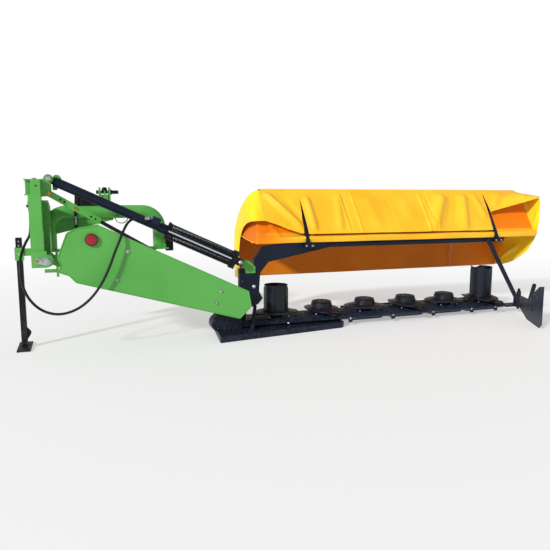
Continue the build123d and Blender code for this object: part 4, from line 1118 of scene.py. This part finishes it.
def rear_panel(left, right, columns):
    """Grid between two slanting edges. An edge is its x at the top bar, two more x, and the shares
    of the drop where it reaches them. Above the drop the cloth turns round the bar, and the outer
    corner flares back by FLARE, eased in along x and down the cloth."""
    fall = np.concatenate([
        np.linspace(-60, 0, SLEEVE_ROWS), np.linspace(0, 1, FALL_ROWS)[1:],
    ])[:, None]
    share = np.linspace(0, 1, columns)[None]
    down = np.clip(fall, 0, None) + 0 * share
    x0 = np.interp(down, [0, *left[2]], [left[0], *left[1]])
    x1 = np.interp(down, [0, *right[2]], [right[0], *right[1]])
    x = x0 + (x1 - x0) * share
    t = np.where(fall < 0, fall, down * hem_drop(x))
    turn = np.clip(-t / WRAP, 0, 4)
    across = np.where(t < 0, WRAP * np.cos(turn), WRAP)
    along = np.where(t < 0, WRAP * np.sin(turn), -t)
    y = TOP_BAR[0] + frame_rear[0] * across + frame_way[0] * along
    z = TOP_BAR[1] + frame_rear[1] * across + frame_way[1] * along
    flare = (ease(x, 2150, 2640) * ease(t, 0, 92))[..., None] * FLARE
    return np.stack([x, y, z], -1) + flare, x, t


def rear_folds(s, t):
    """Height of the curtain's folds: slack belly, panel seams, and the pulls beside both slits."""
    belly = 5 * np.sin(np.pi * np.clip(t / 410, 0, 1)) * (1.2 + np.sin(s / 240 + 0.6))
    seams = [((x - 15, -20), (x + 22, 430), width, lift) for x, width, lift in (
        (628, 7, 8), (650, 7, -6), (742, 8, 9), (1075, 9, -7), (1420, 9, 12), (1490, 9, -9),
    )]
    pulls = [
        ((1660, 40), (1470, 400), 52, 38), ((1790, 60), (1640, 410), 44, -18),
        ((1890, 30), (1800, 410), 44, 28), ((-70, 10), (225, 380), 26, 30),
        ((60, 10), (238, 300), 24, -14), ((300, 60), (330, 400), 30, 24),
        ((2300, 20), (2200, 170), 34, 20), ((2420, 10), (2500, 90), 30, 14),
        ((1240, 80), (1290, 300), 60, 10), ((600, 30), (560, 400), 34, 16),
        ((890, 40), (930, 400), 60, 10), ((2000, 20), (2070, 300), 30, 16),
    ]
    height = ridges(s, t, seams + pulls, belly)
    hem = ridge(s, t - hem_drop(s), (INNER_EDGE, -22), (2000, -22), 3, 1.6)
    return np.clip(height * ease(t, -5, 60) + hem * (t > 60), 0, None)


# The three panels' edges, from the inner end to the outer: the two slits lie between them.
edge_in = (INNER_EDGE, (INNER_EDGE, INNER_EDGE), (0.5, 1))
slit_in = [(246, (246, x), (0.2, 1)) for x in (226, 268)]
slit_out = [(2128, (2128, x), (0.1, 1)) for x in (2112, 2150)]
edge_out = (2519, (OUTER_EDGE, OUTER_EDGE), (0.9, 1))
rear_panels = []
for left, right, columns in (
    (edge_in, slit_in[0], 50), (slit_in[1], slit_out[0], 230), (slit_out[1], edge_out, 60),
):
    grid, s, t = rear_panel(left, right, columns)
    rear_panels.append((grid + normals_of(grid) * rear_folds(s, t)[..., None], s, t))
cloth(
    "rear_curtain_cloth", rear_panels, "hanging_curtain", yellow, orange,
    ["rear_curtain"],
)

# End curtains: cloth that closes the cover's two ends, sewn to the front cover and tied to the
# folding frame's cover.
END_FOOT, SLUMPED = 372, 0.5
END_ROWS, INNER_COLUMNS, OUTER_COLUMNS = 120, 50, 60


def lofted(first, second, rows, columns, bulge=(0, 0, 0)):
    """Grid between two lines, each walked evenly, bowed along bulge in the middle of its width."""
    ends = []
    for points in (first, second):
        far = walked(points)
        ends.append(read_off(points, far, np.linspace(0, far[-1], rows))[:, None])
    share = np.linspace(0, 1, columns)[None, :, None]
    grid = ends[0] * (1 - share) + ends[1] * share
    return grid + np.asarray(bulge, float) * np.sin(np.pi * share)


def rounded(points, passes=3):
    """Corner cutting that keeps the ends, to turn a few points into a smooth curve."""
    points = np.asarray(points, float)
    for _ in range(passes):
        near, far = points[:-1] * 0.75 + points[1:] * 0.25, points[:-1] * 0.25 + points[1:] * 0.75
        cut = np.stack([near, far], 1).reshape(-1, 3)
        points = np.concatenate([points[:1], cut[1:-1], points[-1:]])
    return points


# The inner end cloth runs up between its own hem and the front cover's edge to the rear curtain's
# edge. A gusset joins it to the fold cover.
rear_edge = rear_panels[0][0][SLEEVE_ROWS:, 0]
inner_hem = rounded([
    (-211, 330, 372), (-213, 345, 500), (-214, 350, 620), (-214, 297, 753), (-213, 185, 842),
    (-208, 40, 876), (-175, -30, 884), tuple(rear_edge[-1]),
])
inner_top = rounded([
    (-211, 503, 372), (-213, 503, 600), (-213, 500, 770), (-212, 440, 850), (-206, 360, 950),
    (-190, 262, 1040), (-160, 190, 1100), (-120, 150, 1128), tuple(rear_edge[0]),
])
inner_grid = lofted(inner_hem, inner_top, END_ROWS, INNER_COLUMNS, (-2, 0, 0))
row_share = np.linspace(0, 1, END_ROWS)[:, None]
bow = np.sin(np.pi * np.linspace(0, 1, INNER_COLUMNS))[None] * ease(row_share, 0.55, 0.85)
bow = bow * ease(row_share, 1.02, 0.8)
inner_grid = inner_grid + np.array((-10, -16, 10.0)) * bow[..., None]
inner_s, inner_t = np.meshgrid(
    np.linspace(0, 420, INNER_COLUMNS), np.linspace(0, 900, END_ROWS),
)
inner_folds = ridges(inner_s, inner_t, (
    ((40, 120), (120, 700), 26, 7), ((250, 60), (300, 560), 34, 6),
))
inner_grid = inner_grid + normals_of(inner_grid) * inner_folds[..., None]
edge_steps = np.linspace(0, len(rear_edge) - 1, INNER_COLUMNS)
sewn_edge = read_off(rear_edge[::-1], np.arange(len(rear_edge)), edge_steps)
sewn = ease(row_share, 0.75, 1.0)[..., None]
inner_grid = inner_grid + (sewn_edge - inner_grid[-1])[None] * sewn
gusset_edge = fold_grid[::-1, 0] + (3, 0, 0)
gusset = lofted([gusset_edge[0], (-205, 480, 770)], gusset_edge, 40, 24)
gusset_s, gusset_t = np.meshgrid(np.linspace(0, 380, 24), np.linspace(920, 1380, 40))
inner_cloth = cloth(
    "inner_end_cloth", [(inner_grid, inner_s, inner_t), (gusset, gusset_s, gusset_t)],
    "mowing_unit", lemon, end_lining, ["inner_end_curtain"],
)

# The outer end cloth is a strip that narrows to both ends, with slack furrows pressed inwards.
outer_rear = rounded([
    (2634, 380, 385), (2634, 250, 425), (2634, 94, 519), (2634, 8, 611), (2635, -52, 731),
    (2635, -66, 827), (2636, -66, 960), (2636, -60, 1056),
])
outer_front = rounded([
    (2634, 514, 372), (2634, 514, 500), (2634, 514, 700), (2634, 490, 790), (2634, 376, 932),
    (2634, 249, 1022), (2634, 190, 1085), (2632, 60, 1080),
])
outer_grid = lofted(outer_front, outer_rear, END_ROWS, OUTER_COLUMNS)
outer_s, outer_t = np.meshgrid(
    np.linspace(0, 560, OUTER_COLUMNS), np.linspace(0, 1000, END_ROWS),
)
outer_folds = ridges(outer_s, outer_t, (
    ((150, 300), (420, 620), 30, -16), ((80, 420), (380, 520), 24, -12),
    ((260, 100), (420, 380), 34, -14), ((430, 560), (520, 860), 28, -12),
))
outer_grid = outer_grid + normals_of(outer_grid) * outer_folds[..., None]
outer_cloth = cloth(
    "outer_end_cloth", [(outer_grid, outer_s, outer_t)], "mowing_unit", lemon, outer_lining,
    ["outer_end_curtain"],
)
for end_cloth in (inner_cloth, outer_cloth):
    foot = tuple(place((0, 0, END_FOOT)))
    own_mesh(end_cloth)
